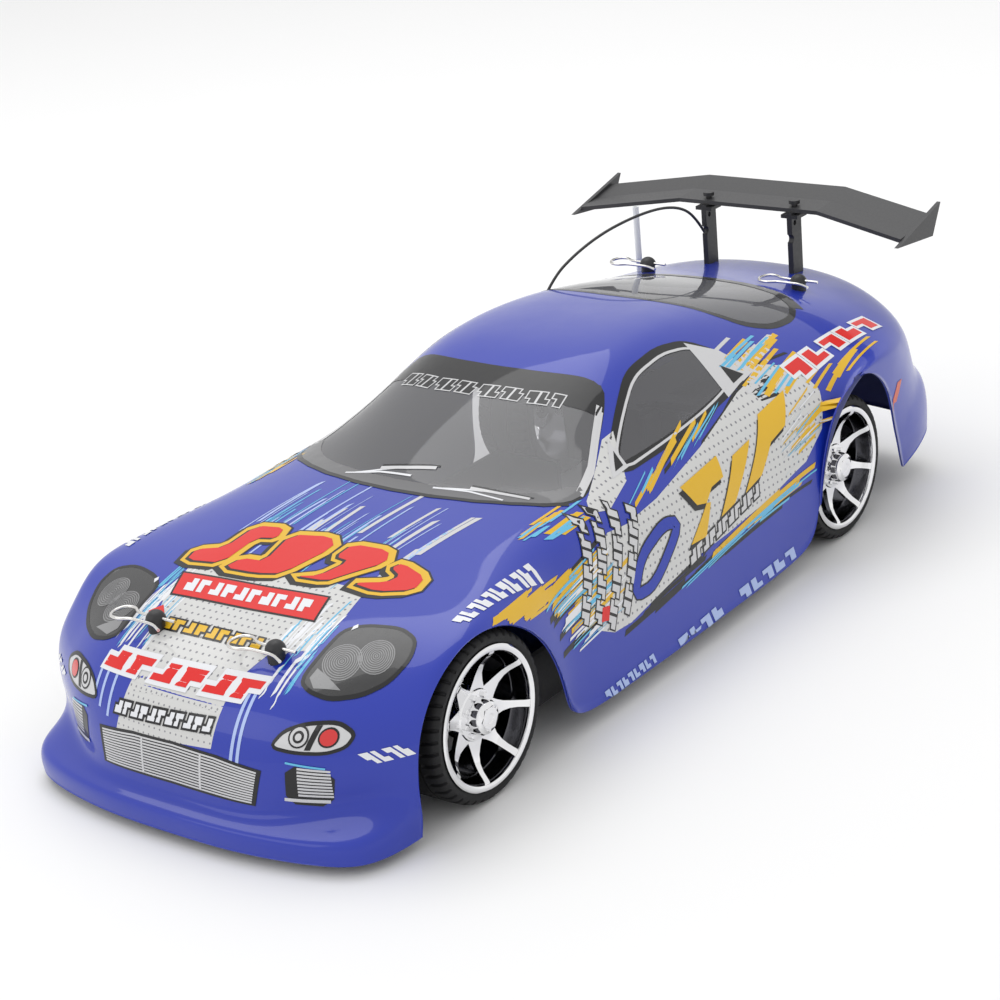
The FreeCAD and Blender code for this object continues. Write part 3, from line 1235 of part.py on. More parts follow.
# ---------------------------------------------------------------- body clips
# Spring wire seen from above, round a post at the origin: one leg goes through the
# post, the loop is on the car's right, and the other leg passes in front of the post.
CLIP_ROUTE = [
    (0, 9.5), (0, -5), (-0.6, -9.4), (-3.2, -12.8), (-2.4, -17), (2.2, -18.6),
    (6.6, -16.4), (7.2, -12), (5, -8.2), (4.9, -2.5), (5, 3.5), (8, 9),
]
for end in ("front", "rear"):
    for side, sign in (("left", 1), ("right", -1)):
        x = getattr(places, end + "_post_x")
        y = sign * getattr(places, end + "_post_y")
        z = getattr(places, end + "_deck_z") + size("clip_height")
        route, clip_radii = rounded_path([(x + a, y + b, z) for a, b in CLIP_ROUTE])
        label = "%s_%s_body_clip" % (end, side)
        node(feature(label + "_wire", round_tube(route, size("clip_wire"))), label)

# ---------------------------------------------------------------- checks and files
document.recompute()
faults = []
for obj in document.Objects:
    if "Invalid" in obj.State or "Error" in obj.State:
        faults.append("%s is in state %s" % (obj.Name, obj.State))
for obj, label in node_names:
    if obj.Shape.isNull() or not obj.Shape.isValid() or not obj.Shape.Solids:
        faults.append("%s has no valid solid" % label)
if faults:
    raise SystemExit("\n".join(faults))
os.makedirs("parts", exist_ok=True)
for obj, label in node_names:
    obj.Shape.exportStep(os.path.join("parts", label + ".step"))
    box_of = obj.Shape.BoundBox
    print("%-24s %6d solids %10.1f mm3  x %7.1f %7.1f  y %7.1f %7.1f  z %7.1f %7.1f" % (
        label, len(obj.Shape.Solids), obj.Shape.Volume, box_of.XMin, box_of.XMax,
        box_of.YMin, box_of.YMax, box_of.ZMin, box_of.ZMax))
print("%d sub-parts written" % len(node_names))
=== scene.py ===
# %% [markdown]
# # A tenth-scale remote control car
# A glossy printed body shell clips over a black tub chassis. The shell is vacuum formed
# from one clear sheet and painted on its inside, so the colour sits under a deep gloss.
# Chrome wheels, black tyres, a bent black wing on two struts and four wire clips finish
# it. The exact solids are loaded first; the scene then adds what the eye needs.

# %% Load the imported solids
import bpy
import math
import random
import numpy as np
from mathutils import Matrix, Vector
from mathutils.bvhtree import BVHTree
from mathutils.geometry import delaunay_2d_cdt


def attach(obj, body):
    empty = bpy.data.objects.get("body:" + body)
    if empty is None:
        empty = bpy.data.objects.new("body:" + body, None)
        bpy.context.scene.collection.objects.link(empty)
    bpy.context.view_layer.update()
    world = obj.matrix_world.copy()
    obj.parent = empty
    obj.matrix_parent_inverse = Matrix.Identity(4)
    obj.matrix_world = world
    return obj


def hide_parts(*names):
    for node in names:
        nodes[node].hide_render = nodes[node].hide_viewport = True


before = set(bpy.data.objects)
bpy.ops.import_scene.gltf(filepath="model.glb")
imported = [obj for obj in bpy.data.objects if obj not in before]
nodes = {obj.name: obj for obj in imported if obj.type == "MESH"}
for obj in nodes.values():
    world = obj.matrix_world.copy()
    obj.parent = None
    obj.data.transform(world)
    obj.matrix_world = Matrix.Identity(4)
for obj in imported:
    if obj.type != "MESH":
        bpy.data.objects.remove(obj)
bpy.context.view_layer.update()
MM = 0.001

# %% [markdown]
# ## Where the car is seen from
# The view is a short telephoto lens from the front left, above head height for a model on
# a table, and the camera is tipped slightly over to its side.

# %% Camera
CAMERA_AT = Vector((0.7160, 0.5506, 0.4084))
AZIMUTH, ELEVATION, ROLL = math.radians(128.1), math.radians(21.79), math.radians(-5.39)
back = Vector((math.sin(AZIMUTH) * math.cos(ELEVATION),
               -math.cos(AZIMUTH) * math.cos(ELEVATION), math.sin(ELEVATION)))
right = (-back).cross(Vector((0, 0, 1))).normalized()
up = right.cross(-back)
cam_x = right * math.cos(ROLL) + up * math.sin(ROLL)
cam_y = up * math.cos(ROLL) - right * math.sin(ROLL)
camera_data = bpy.data.cameras.new("camera")
camera_data.lens = 85.77
camera_data.sensor_width = 36
camera_data.clip_start = 0.05
camera = bpy.data.objects.new("camera", camera_data)
turn = Matrix((cam_x, cam_y, back)).transposed()
camera.matrix_world = Matrix.Translation(CAMERA_AT) @ turn.to_4x4()
bpy.context.scene.collection.objects.link(camera)
bpy.context.scene.camera = camera
print("camera stands", round(CAMERA_AT.length, 3), "m from the middle of the car")

# %% [markdown]
# ## The aerial wire
# A thin insulated wire comes up through the roof, runs back in a high arch and goes in at
# the wing's right strut. It is a curve through the same corners as the solid, so its
# length is known. Its thickness is given in millimetres and brought to metres by the
# radius of each point, because Blender adds that radius to the box round a curve.

# %% Aerial wire
AERIAL_ROUTE = [
    (-81, -39.8, 103.5), (-88, -38.8, 111.5), (-102, -36.4, 118.2),
    (-120, -33.4, 123.2), (-140, -30.1, 125.3), (-158, -27.2, 125),
    (-171.5, -25, 121.6), (-180.5, -23.6, 115), (-186, -22.6, 106.5),
]
WIRE_RADIUS = 0.65
wire_curve = bpy.data.curves.new("aerial_wire", "CURVE")
wire_curve.dimensions = "3D"
wire_curve.bevel_depth = WIRE_RADIUS
wire_curve.bevel_resolution = 4
wire_curve.use_fill_caps = True
spline = wire_curve.splines.new("NURBS")
spline.points.add(len(AERIAL_ROUTE) - 1)
for point, corner in zip(spline.points, AERIAL_ROUTE):
    point.co = (corner[0] * MM, corner[1] * MM, corner[2] * MM, 1)
    point.radius = MM
spline.order_u = 3
spline.use_endpoint_u = True
spline.resolution_u = 12
wire = bpy.data.objects.new("aerial_wire", wire_curve)
bpy.context.scene.collection.objects.link(wire)
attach(wire, "car")
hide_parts("antenna_wire")
print("aerial wire route has", len(AERIAL_ROUTE), "corners")

# %% [markdown]
# ## Finishes
# Every material is built the same way: one set of nodes gives a slightly uneven gloss and
# a very small unevenness of the surface, as moulding, plating and wear leave them. The
# colour itself is set on the shader. A second set gives the rows of printed dots on the
# pale panels.

# %% Materials
def group_socket(group, name, kind, default=None, out=False):
    made = group.interface.new_socket(
        name=name, in_out="OUTPUT" if out else "INPUT", socket_type=kind)
    if default is not None:
        made.default_value = default
    return made


def uneven_group():
    """Object-space noise as a gloss between two limits and as a height."""
    group = bpy.data.node_groups.new("uneven surface", "ShaderNodeTree")
    group_socket(group, "Scale", "NodeSocketFloat", 300.0)
    group_socket(group, "Low", "NodeSocketFloat", 0.3)
    group_socket(group, "High", "NodeSocketFloat", 0.4)
    group_socket(group, "Roughness", "NodeSocketFloat", out=True)
    group_socket(group, "Height", "NodeSocketFloat", out=True)
    n, l = group.nodes, group.links
    inside, outside = n.new("NodeGroupInput"), n.new("NodeGroupOutput")
    where = n.new("ShaderNodeTexCoord")
    noise = n.new("ShaderNodeTexNoise")
    noise.inputs["Detail"].default_value = 4
    spread = n.new("ShaderNodeMapRange")
    l.new(where.outputs["Object"], noise.inputs["Vector"])
    l.new(inside.outputs["Scale"], noise.inputs["Scale"])
    l.new(noise.outputs["Fac"], spread.inputs["Value"])
    spread.inputs["From Min"].default_value = 0.3
    spread.inputs["From Max"].default_value = 0.7
    l.new(inside.outputs["Low"], spread.inputs["To Min"])
    l.new(inside.outputs["High"], spread.inputs["To Max"])
    l.new(spread.outputs["Result"], outside.inputs["Roughness"])
    l.new(noise.outputs["Fac"], outside.inputs["Height"])
    return group


def dots_group():
    """Rows of printed dots in one view of the car: 1 inside a dot, 0 between dots."""
    group = bpy.data.node_groups.new("printed dots", "ShaderNodeTree")
    group_socket(group, "Vector", "NodeSocketVector")
    group_socket(group, "Pitch", "NodeSocketFloat", 0.003)
    group_socket(group, "Radius", "NodeSocketFloat", 0.15)
    group_socket(group, "Dots", "NodeSocketFloat", out=True)
    n, l = group.nodes, group.links
    inside, outside = n.new("NodeGroupInput"), n.new("NodeGroupOutput")
    cells = n.new("ShaderNodeVectorMath")
    cells.operation = "DIVIDE"
    pitch = n.new("ShaderNodeCombineXYZ")
    l.new(inside.outputs["Vector"], cells.inputs[0])
    for axis in ("X", "Y", "Z"):
        l.new(inside.outputs["Pitch"], pitch.inputs[axis])
    l.new(pitch.outputs["Vector"], cells.inputs[1])
    part = n.new("ShaderNodeVectorMath")
    part.operation = "FRACTION"
    l.new(cells.outputs["Vector"], part.inputs[0])
    middle = n.new("ShaderNodeVectorMath")
    middle.operation = "DISTANCE"
    middle.inputs[1].default_value = (0.5, 0.5, 0)
    l.new(part.outputs["Vector"], middle.inputs[0])
    near = n.new("ShaderNodeMath")
    near.operation = "LESS_THAN"
    l.new(middle.outputs["Value"], near.inputs[0])
    l.new(inside.outputs["Radius"], near.inputs[1])
    l.new(near.outputs["Value"], outside.inputs["Dots"])
    return group


UNEVEN = uneven_group()
DOTS = dots_group()


def material(name, colour, low, high, metal=0.0, coat=0.0, coat_rough=0.04, scale=300,
             bump=0.0, clear=0.0, ior=1.5, specular=0.5):
    made = bpy.data.materials.new(name)
    made.use_nodes = True
    n, l = made.node_tree.nodes, made.node_tree.links
    shader = n["Principled BSDF"]
    shader.inputs["Base Color"].default_value = (*colour, 1)
    shader.inputs["Metallic"].default_value = metal
    shader.inputs["Coat Weight"].default_value = coat
    shader.inputs["Coat Roughness"].default_value = coat_rough
    shader.inputs["Transmission Weight"].default_value = clear
    shader.inputs["IOR"].default_value = ior
    shader.inputs["Specular IOR Level"].default_value = specular
    uneven = n.new("ShaderNodeGroup")
    uneven.node_tree = UNEVEN
    uneven.inputs["Scale"].default_value = scale
    uneven.inputs["Low"].default_value = low
    uneven.inputs["High"].default_value = high
    l.new(uneven.outputs["Roughness"], shader.inputs["Roughness"])
    if bump:
        rise = n.new("ShaderNodeBump")
        rise.inputs["Strength"].default_value = bump
        rise.inputs["Distance"].default_value = 0.2 * MM
        l.new(uneven.outputs["Height"], rise.inputs["Height"])
        l.new(rise.outputs["Normal"], shader.inputs["Normal"])
    return made


def dotted(name, view, light, dark, pitch, radius, low, high):
    """A light printed panel with rows of darker dots, seen in its own view."""
    made = material(name, light, low, high, coat=0.5, specular=0.2)
    n, l = made.node_tree.nodes, made.node_tree.links
    where = n.new("ShaderNodeTexCoord")
    split = n.new("ShaderNodeSeparateXYZ")
    flat = n.new("ShaderNodeCombineXYZ")
    l.new(where.outputs["Object"], split.inputs["Vector"])
    first, second = {"top": ("X", "Y"), "side": ("X", "Z"), "front": ("Y", "Z")}[view]
    l.new(split.outputs[first], flat.inputs["X"])
    l.new(split.outputs[second], flat.inputs["Y"])
    dots = n.new("ShaderNodeGroup")
    dots.node_tree = DOTS
    dots.inputs["Pitch"].default_value = pitch * MM
    dots.inputs["Radius"].default_value = radius
    l.new(flat.outputs["Vector"], dots.inputs["Vector"])
    mix = n.new("ShaderNodeMix")
    mix.data_type = "RGBA"
    mix.inputs[6].default_value = (*light, 1)
    mix.inputs[7].default_value = (*dark, 1)
    l.new(dots.outputs["Dots"], mix.inputs[0])
    l.new(mix.outputs[2], n["Principled BSDF"].inputs["Base Color"])
    return made


def ink(name, colour):
    """A printed colour, which lies under the gloss of the clear sheet."""
    return material(name, colour, 0.3, 0.4, coat=0.5, specular=0.2)


MAT = {
    "blue": material("blue_shell", (0.006, 0.026, 0.37), 0.34, 0.42, coat=0.7, specular=0.3,
                     scale=60),
    "blue_inside": material("shell_inside", (0.012, 0.02, 0.14), 0.5, 0.6, scale=60),
    "window": material("smoked_window", (0.33, 0.33, 0.345), 0.03, 0.05, coat=0.8,
                       clear=0.66, ior=1.03, scale=40),
    "side_window": material("side_window", (0.26, 0.26, 0.28), 0.03, 0.05, coat=1.0,
                            clear=0.7, ior=1.03, scale=40),
    "black_print": ink("black_print", (0.008, 0.008, 0.009)),
    "grey_print": ink("grey_print", (0.14, 0.14, 0.145)),
    "silver_print": ink("silver_print", (0.58, 0.58, 0.59)),
    "white_print": ink("white_print", (0.74, 0.75, 0.78)),
    "pale_blue": ink("pale_print", (0.40, 0.50, 0.80)),
    "yellow_print": ink("yellow_print", (0.72, 0.43, 0.012)),
    "cyan_print": ink("cyan_print", (0.12, 0.46, 0.70)),
    "red_print": ink("red_print", (0.68, 0.012, 0.010)),
    "orange_print": ink("orange_print", (0.60, 0.08, 0.02)),
    "royal_print": ink("royal_print", (0.010, 0.034, 0.38)),
    "panel_side": dotted("dotted_side", "side", (0.60, 0.60, 0.59), (0.22, 0.22, 0.24),
                         3.2, 0.16, 0.3, 0.4),
    "panel_top": dotted("dotted_hood", "top", (0.60, 0.60, 0.59), (0.22, 0.22, 0.24),
                        3.0, 0.16, 0.3, 0.4),
    "panel_front": dotted("dotted_nose", "front", (0.60, 0.60, 0.59), (0.25, 0.25, 0.27),
                          2.6, 0.14, 0.3, 0.4),
    "lamp_dark": material("lamp_dark", (0.03, 0.03, 0.031), 0.2, 0.3, coat=0.6, specular=0.3),
    "lamp_bowl": material("lamp_bowl", (0.07, 0.07, 0.071), 0.25, 0.35, coat=0.6, specular=0.3),
    "lamp_ring": material("lamp_ring", (0.24, 0.24, 0.245), 0.25, 0.35, coat=0.6, specular=0.3),
    "red_lens": material("red_lens", (0.62, 0.015, 0.015), 0.08, 0.12, coat=1.0, specular=0.3),
    "chrome": material("bright_plating", (0.86, 0.86, 0.87), 0.05, 0.09, metal=1.0, scale=120),
    # Painted shade: the same plating made nearly black for the wheel barrel, which lies in shade
    # behind the spokes.
    "barrel_painted_shade": material("plating_painted_shade", (0.10, 0.10, 0.11), 0.12, 0.2, metal=1.0, scale=120),
    "tyre": material("tyre_rubber", (0.010, 0.010, 0.011), 0.55, 0.68, scale=900, bump=0.15,
                     specular=0.3),
    "black": material("black_moulding", (0.018, 0.018, 0.02), 0.38, 0.5, scale=700, bump=0.1),
    "wing": material("wing_moulding", (0.035, 0.035, 0.037), 0.36, 0.46, scale=1400, bump=0.12),
    "wire": material("wire_cover", (0.02, 0.02, 0.02), 0.35, 0.45, scale=500),
    "clip": material("clip_wire", (0.72, 0.71, 0.69), 0.12, 0.2, metal=1.0, scale=500),
    "steel": material("plated_steel", (0.55, 0.55, 0.56), 0.2, 0.3, metal=1.0, scale=500),
    "tube": material("clear_tube", (0.82, 0.84, 0.85), 0.1, 0.2, coat=0.6, scale=300),
    "foam": material("bumper_foam", (0.02, 0.02, 0.022), 0.8, 0.9, scale=1500, bump=0.4),
    "battery": material("battery_wrap", (0.03, 0.05, 0.16), 0.2, 0.35, scale=300),
    "board": material("board_mask", (0.01, 0.12, 0.04), 0.25, 0.35, scale=500),
    "floor": material("studio_floor", (0.86, 0.86, 0.86), 0.55, 0.65, scale=8),
}
wire_curve.materials.append(MAT["wire"])
print("materials:", len(MAT))

# %% [markdown]
# ## The solids that are already right
# The chassis, steering, gearbox and fittings keep their exact solids and only get a finish
# of their own. Most of them are seen only through the windows and the wheel arches.

# %% Finishes of the solids
PLAIN = {
    "battery_pack": "battery", "circuit_board": "board", "front_bumper": "foam",
    "antenna_tube": "tube", "drive_motor": "steel", "rear_wing": "wing",
    "kingpins": "steel", "axle_bearings": "steel", "rear_axle": "steel",
    "idler_pin": "steel", "strap_hinge_pin": "steel", "roll_pivot_pin": "steel",
    "motor_pinion": "steel",
}
for name, solid in nodes.items():
    choice = PLAIN.get(name, "black")
    if name.endswith("_clip"):
        choice = "clip"
    elif name.endswith(("_spring", "_collar")):
        choice = "steel"
    solid.data.materials.clear()
    solid.data.materials.append(MAT[choice])
print("solids with a finish:", len(nodes))

# %% [markdown]
# ## The body shell
# The real one is a sheet of clear plastic, heated and pulled down over a mould, so it is
# one smooth skin about a millimetre thick. The same net of control points as the solid
# gives that skin: rows run from the lip under the nose to the rear bumper, and each row
# goes from the centreline to the bottom edge. A cubic surface through the net is worked
# out at many points, once for the outside and once a millimetre inside.

# %% Net of the shell
SHELL_NET = {
    "splitter_bottom": [
        (207, 0, 4), (207, 25, 4), (204, 47, 4),
        (200, 64, 4), (194.5, 76, 4), (186, 80.5, 4),
        (179, 82, 4), (173.5, 82.8, 4), (168, 83, 4)],
    "splitter_edge": [
        (208, 0, 11), (208, 25, 11), (205, 47, 11),
        (201, 64, 11.5), (195.5, 77, 12), (186.5, 81.5, 12),
        (179.5, 82.8, 11.5), (173.5, 83.4, 11), (167.5, 83.7, 10.5)],
    "splitter_top": [
        (206, 0, 12.5), (206, 25, 12.5), (203, 47, 12.5),
        (197.5, 63.5, 13), (191.5, 75, 14), (184.5, 80, 14.5),
        (178, 82, 15), (173, 83.3, 15), (168, 84, 14.5)],
    "bumper_foot": [
        (200.5, 0, 14), (200.5, 24, 14), (198, 41, 14.5),
        (190, 55, 16), (182.5, 66, 18), (177, 74, 19.5),
        (173, 79.5, 20.5), (170.5, 82.8, 20.8), (169, 84.7, 20.5)],
    "bumper_low": [
        (200, 0, 21), (200, 24, 21), (197, 42, 22),
        (189, 57, 24), (182, 68, 25.5), (176.5, 76, 27),
        (173, 81, 28), (171, 84, 28.2), (169.8, 85.5, 28)],
    "bumper_mid": [
        (199, 0, 33), (198.5, 22, 33), (195, 44, 34),
        (188, 60, 35), (181, 71, 36), (175.5, 78.3, 37),
        (172, 82.7, 37.3), (170, 85, 37.5), (169, 86, 37.2)],
    "bumper_high": [
        (195, 0, 45), (194, 22, 45), (190.5, 44, 46),
        (184, 60, 46.5), (177, 70.5, 46.8), (172, 77.8, 47),
        (168.8, 82.5, 47), (167, 85, 46.8), (166, 86.2, 46.3)],
    "nose": [
        (185, 0, 55), (184, 22, 55.5), (181.5, 42, 56),
        (175.2, 57, 55.5), (168.7, 67.5, 55.3), (164.2, 75.3, 55.5),
        (160.7, 81, 55.7), (158.7, 84, 55.7), (157.5, 85.3, 55.1)],
    "hood_front": [
        (169, 0, 62), (168, 22, 62.5), (166, 42, 63),
        (162, 56.5, 63), (157, 67, 63), (153, 75.3, 63.3),
        (150, 81.5, 64.1), (148, 85, 64.3), (146.5, 86.5, 63.3)],
    "hood_lamps": [
        (150, 0, 68), (150, 21, 68.5), (149, 41, 68.5),
        (147, 56.5, 68.5), (144, 67.5, 68.5), (140.5, 76, 68.6),
        (137.5, 82, 68.6), (135.2, 85.2, 67.8), (133.5, 86.6, 66.3)],
    "hood_mid": [
        (128, 0, 73), (128, 20, 73.5), (128, 40, 73),
        (127, 56.5, 72), (125, 68, 71.7), (122, 76.3, 71.3),
        (119.7, 82.3, 69.5), (118.3, 85.5, 67), (117.3, 86.8, 64)],
    "hood_rear": [
        (104, 0, 77), (104, 20, 77.5), (104, 40, 77),
        (104, 56.5, 75.5), (103.8, 68, 74), (103.4, 76.3, 72),
        (102.8, 82.3, 67.5), (102, 85.8, 61), (101.5, 87, 54.5)],
    "arch_back": [
        (84, 0, 79.5), (84, 20, 79.5), (84, 40, 79),
        (84, 57, 77.5), (85, 68, 75), (87, 76.5, 71),
        (89, 82, 63.5), (90.8, 85.8, 53), (92, 87, 42.5)],
    "cowl_front": [
        (70, 0, 80.5), (69, 20, 80.5), (66, 40, 80),
        (62, 57, 78.5), (67, 68, 76), (75, 76, 70.5),
        (80.5, 82, 58.5), (84.5, 85.8, 42), (86.5, 87, 30)],
    "cowl": [
        (64, 0, 81), (62, 20, 81), (56, 40, 80.5),
        (46, 57, 79.5), (48, 70, 76), (62, 77.5, 70),
        (72, 82.2, 57), (80, 85.5, 38), (83.8, 86.8, 18.5)],
    "screen_foot": [
        (58, 0, 83), (56, 19, 83), (49, 38, 82.5),
        (37, 55, 81), (34, 70, 77), (48, 78, 69),
        (60, 82.8, 55), (70.5, 85.6, 35), (79.5, 86, 7.5)],
    "screen_mid": [
        (28, 0, 96), (27, 18, 95.5), (23, 35, 94.5),
        (16, 51, 91), (12, 68, 79), (24, 79, 68),
        (34, 83.3, 54), (43, 86, 35), (53, 87.5, 7.5)],
    "screen_top": [
        (-6, 0, 108.5), (-7, 17, 108), (-9, 33, 107.5),
        (-13, 48.5, 103.5), (-12, 68, 81), (-4, 79.5, 68),
        (4, 84, 54), (10, 86, 36), (15, 88.5, 8)],
    "roof_front": [
        (-26, 0, 112.5), (-26, 17, 112.5), (-28, 33, 111.5),
        (-31, 49, 107.5), (-31, 67.5, 83), (-28, 80, 69),
        (-24, 84.5, 54), (-20, 86, 36), (-18, 88.5, 8)],
    "roof_mid": [
        (-54, 0, 113.5), (-54, 17, 113.5), (-55, 33, 112.8),
        (-57, 48.5, 109), (-56, 67, 85), (-54, 80.5, 70),
        (-52, 85, 54), (-50, 86, 36), (-50, 88.5, 8)],
    "roof_rear": [
        (-84, 0, 112), (-84, 17, 112), (-84, 32.5, 111),
        (-84, 47.5, 107), (-82, 67.5, 86), (-79, 81.5, 71.5),
        (-76, 86, 55), (-75, 87, 36), (-81, 88, 8)],
    "hatch_front": [
        (-112, 0, 108), (-112, 17, 108), (-111, 33, 106.8),
        (-109, 48.5, 102.5), (-106, 68, 87), (-101, 82.5, 73.5),
        (-97, 88, 56), (-97, 89, 36), (-99, 88, 12)],
    "hatch_mid": [
        (-140, 0, 102), (-140, 17, 102), (-138, 34, 101),
        (-136, 51, 97), (-131, 69, 87), (-124, 83, 75.5),
        (-114, 89.5, 65), (-103, 91.5, 54), (-97, 91, 42)],
    "hatch_rear": [
        (-166, 0, 96), (-166, 18, 95.8), (-164, 36, 94.8),
        (-161, 53, 92), (-157, 70, 85.5), (-149, 83, 78),
        (-137, 90, 75), (-122, 93, 72), (-107, 92, 66)],
    "deck": [
        (-190, 0, 92), (-190, 18, 91.5), (-188, 35, 90.8),
        (-185, 53, 88.5), (-180, 69.5, 83), (-171.5, 82, 77.5),
        (-159, 89.5, 76), (-142, 93, 76), (-124, 92.5, 74)],
    "deck_lip": [
        (-212, 0, 91), (-212, 18, 90.5), (-210, 36, 89),
        (-205, 53, 86), (-198.5, 69, 80), (-189, 81, 75),
        (-175.5, 88.5, 72.5), (-160, 92, 72), (-143, 92, 72)],
    "tail_top": [
        (-220, 0, 88), (-220, 18, 87.5), (-218, 36, 85.5),
        (-214, 53, 81.5), (-208, 68.5, 75.5), (-199, 80, 69),
        (-186.5, 86.5, 64), (-172.5, 90, 62), (-158, 90.5, 60)],
    "tail": [
        (-220, 0, 70), (-220, 18, 70), (-218, 36, 69),
        (-215, 53, 66.5), (-210.5, 69, 63), (-202.5, 80, 57.5),
        (-191, 86, 52), (-179, 88.5, 49), (-166, 88.5, 46)],
    "tail_step": [
        (-220, 0, 56), (-220, 18, 56), (-219, 36, 55.5),
        (-216.5, 54, 54.5), (-212.5, 70, 52.5), (-206, 80.5, 48.5),
        (-196.5, 85, 42), (-185, 87, 38), (-172, 86.5, 34)],
    "bumper_rear_top": [
        (-229, 0, 51), (-229, 18, 51), (-228, 37, 50.5),
        (-225.5, 57, 49.5), (-221.5, 72.5, 47.5), (-214, 81, 43.5),
        (-203, 85, 36), (-191, 86.5, 30), (-178, 85, 24)],
    "bumper_rear": [
        (-231, 0, 34), (-231, 18, 34), (-229.5, 38, 34),
        (-227, 58, 33.5), (-223.5, 73, 32.5), (-216, 81, 30),
        (-205, 84.5, 25), (-194.5, 85, 20), (-183, 83, 16)],
    "bumper_rear_low": [
        (-230, 0, 21), (-230, 18, 21), (-228, 38, 21),
        (-225.5, 58, 20.5), (-222, 73.5, 20.5), (-215, 81, 20),
        (-205, 83, 17), (-196, 83, 13), (-187, 82, 10)],
}
half = np.array(list(SHELL_NET.values()), float)
half[:, :, 0] += 11.5
mirrored = half[:, :0:-1] * np.array([1, -1, 1])
NET = np.concatenate([mirrored, half], axis=1) * MM
print("net:", NET.shape[0], "rows of", NET.shape[1], "points")


# %% The skin worked out from the net
def cubic_weights(count, at):
    """Weights of the net's points on a clamped uniform cubic, with first derivatives."""
    spans = count - 3
    knots = np.concatenate([[0] * 3, np.linspace(0, 1, spans + 1), [1] * 3])
    at = np.clip(at, 0, 1 - 1e-9)
    weights = [(at[:, None] >= knots[:-1]) & (at[:, None] < knots[1:])][0].astype(float)
    for degree in (1, 2, 3):
        rows = len(knots) - 1 - degree
        nxt = np.zeros((len(at), rows))
        for i in range(rows):
            left, rightward = knots[i + degree] - knots[i], knots[i + degree + 1] - knots[i + 1]
            if left > 0:
                nxt[:, i] += (at - knots[i]) / left * weights[:, i]
            if rightward > 0:
                nxt[:, i] += (knots[i + degree + 1] - at) / rightward * weights[:, i + 1]
        weights = nxt
    return weights


LENGTHWISE, ACROSS = 440, 300
u = np.linspace(0, 1, LENGTHWISE)
v = np.linspace(0, 1, ACROSS)
skin = np.einsum("ui,vj,ijk->uvk", cubic_weights(NET.shape[0], u),
                 cubic_weights(NET.shape[1], v), NET)
along = np.gradient(skin, axis=0)
across = np.gradient(skin, axis=1)
normal = np.cross(across, along)
normal /= np.linalg.norm(normal, axis=2)[:, :, None]
if normal[LENGTHWISE // 2, ACROSS // 2, 2] < 0:
    normal = -normal
print("skin spans x %.1f to %.1f mm, z up to %.1f mm" % (
    skin[:, :, 0].min() / MM, skin[:, :, 0].max() / MM, skin[:, :, 2].max() / MM))

# %% [markdown]
# ## Laying shapes on the skin
# Windows and printed shapes are drawn flat, in a view from above, from the side or from
# the front, and then laid on the skin. Each becomes a fine mesh a few hundredths of a
# millimetre off the paint, so the prints keep crisp edges and follow every curve.

# %% Laying tools
corners = skin.reshape(-1, 3)
index = np.arange(LENGTHWISE * ACROSS).reshape(LENGTHWISE, ACROSS)
quads = np.stack([index[:-1, :-1], index[1:, :-1], index[1:, 1:], index[:-1, 1:]], -1)
skin_tree = BVHTree.FromPolygons([tuple(p) for p in corners],
                                 [tuple(q) for q in quads.reshape(-1, 4)])
VIEWS = {
    "top": (lambda a, b: (a, b, 0.3), Vector((0, 0, -1))),
    "left": (lambda a, b: (a, 0.3, b), Vector((0, -1, 0))),
    "right": (lambda a, b: (a, -0.3, b), Vector((0, 1, 0))),
    "front": (lambda a, b: (0.4, a, b), Vector((-1, 0, 0))),
    "rear": (lambda a, b: (-0.4, a, b), Vector((1, 0, 0))),
}
LAYER = 0.05 * MM


def lay(points, view, layer):
    """Flat points in millimetres laid on the skin, a layer or more above it."""
    start, way = VIEWS[view]
    laid = []
    for a, b in points:
        origin = Vector(start(a * MM, b * MM))
        spot, facing, _, _ = skin_tree.ray_cast(origin, way)
        if spot is None:
            spot, facing, _, _ = skin_tree.find_nearest(origin + way * 0.25)
        if facing.dot(way) > 0:
            facing = -facing
        laid.append(spot + facing * (LAYER * layer))
    return laid


MIDDLE_REACH = 0.02   # metres past the middle that still count as the near side
EDGE_ON = 0.02        # squared cosine under which the skin is seen too steeply to print on


def on_skin(points, view):
    """True where every point meets the skin on the near side and not edge on."""
    start, way = VIEWS[view]
    met = [skin_tree.ray_cast(Vector(start(a * MM, b * MM)), way) for a, b in points]
    return all(spot is not None and spot.dot(way) < MIDDLE_REACH
               and facing.dot(way) ** 2 > EDGE_ON for spot, facing, _, _ in met)


def both_halves(half, closed=True):
    """A half outline joined to its mirror image across the middle of the car."""
    return [(x, -y) for x, y in half[::-1]] + (half[1:-1] if closed else half[1:])


def circle(cx, cy, radius, points=24, side=1, tall=None):
    """Points round a circle, or an oval where its height is named, on one side of the car."""
    turn_by = 2 * math.pi / points
    tall = radius if tall is None else tall
    return [((cx + radius * math.cos(k * turn_by)) * side, cy + tall * math.sin(k * turn_by))
            for k in range(points)]


def rounded(points, times=2):
    """Cuts the corners of a closed outline a few times, as a stencil's are."""
    for _ in range(times):
        cut = []
        for (ax, ay), (bx, by) in zip(points, points[1:] + points[:1]):
            cut.append((0.8 * ax + 0.2 * bx, 0.8 * ay + 0.2 * by))
            cut.append((0.2 * ax + 0.8 * bx, 0.2 * ay + 0.8 * by))
        points = cut
    return points


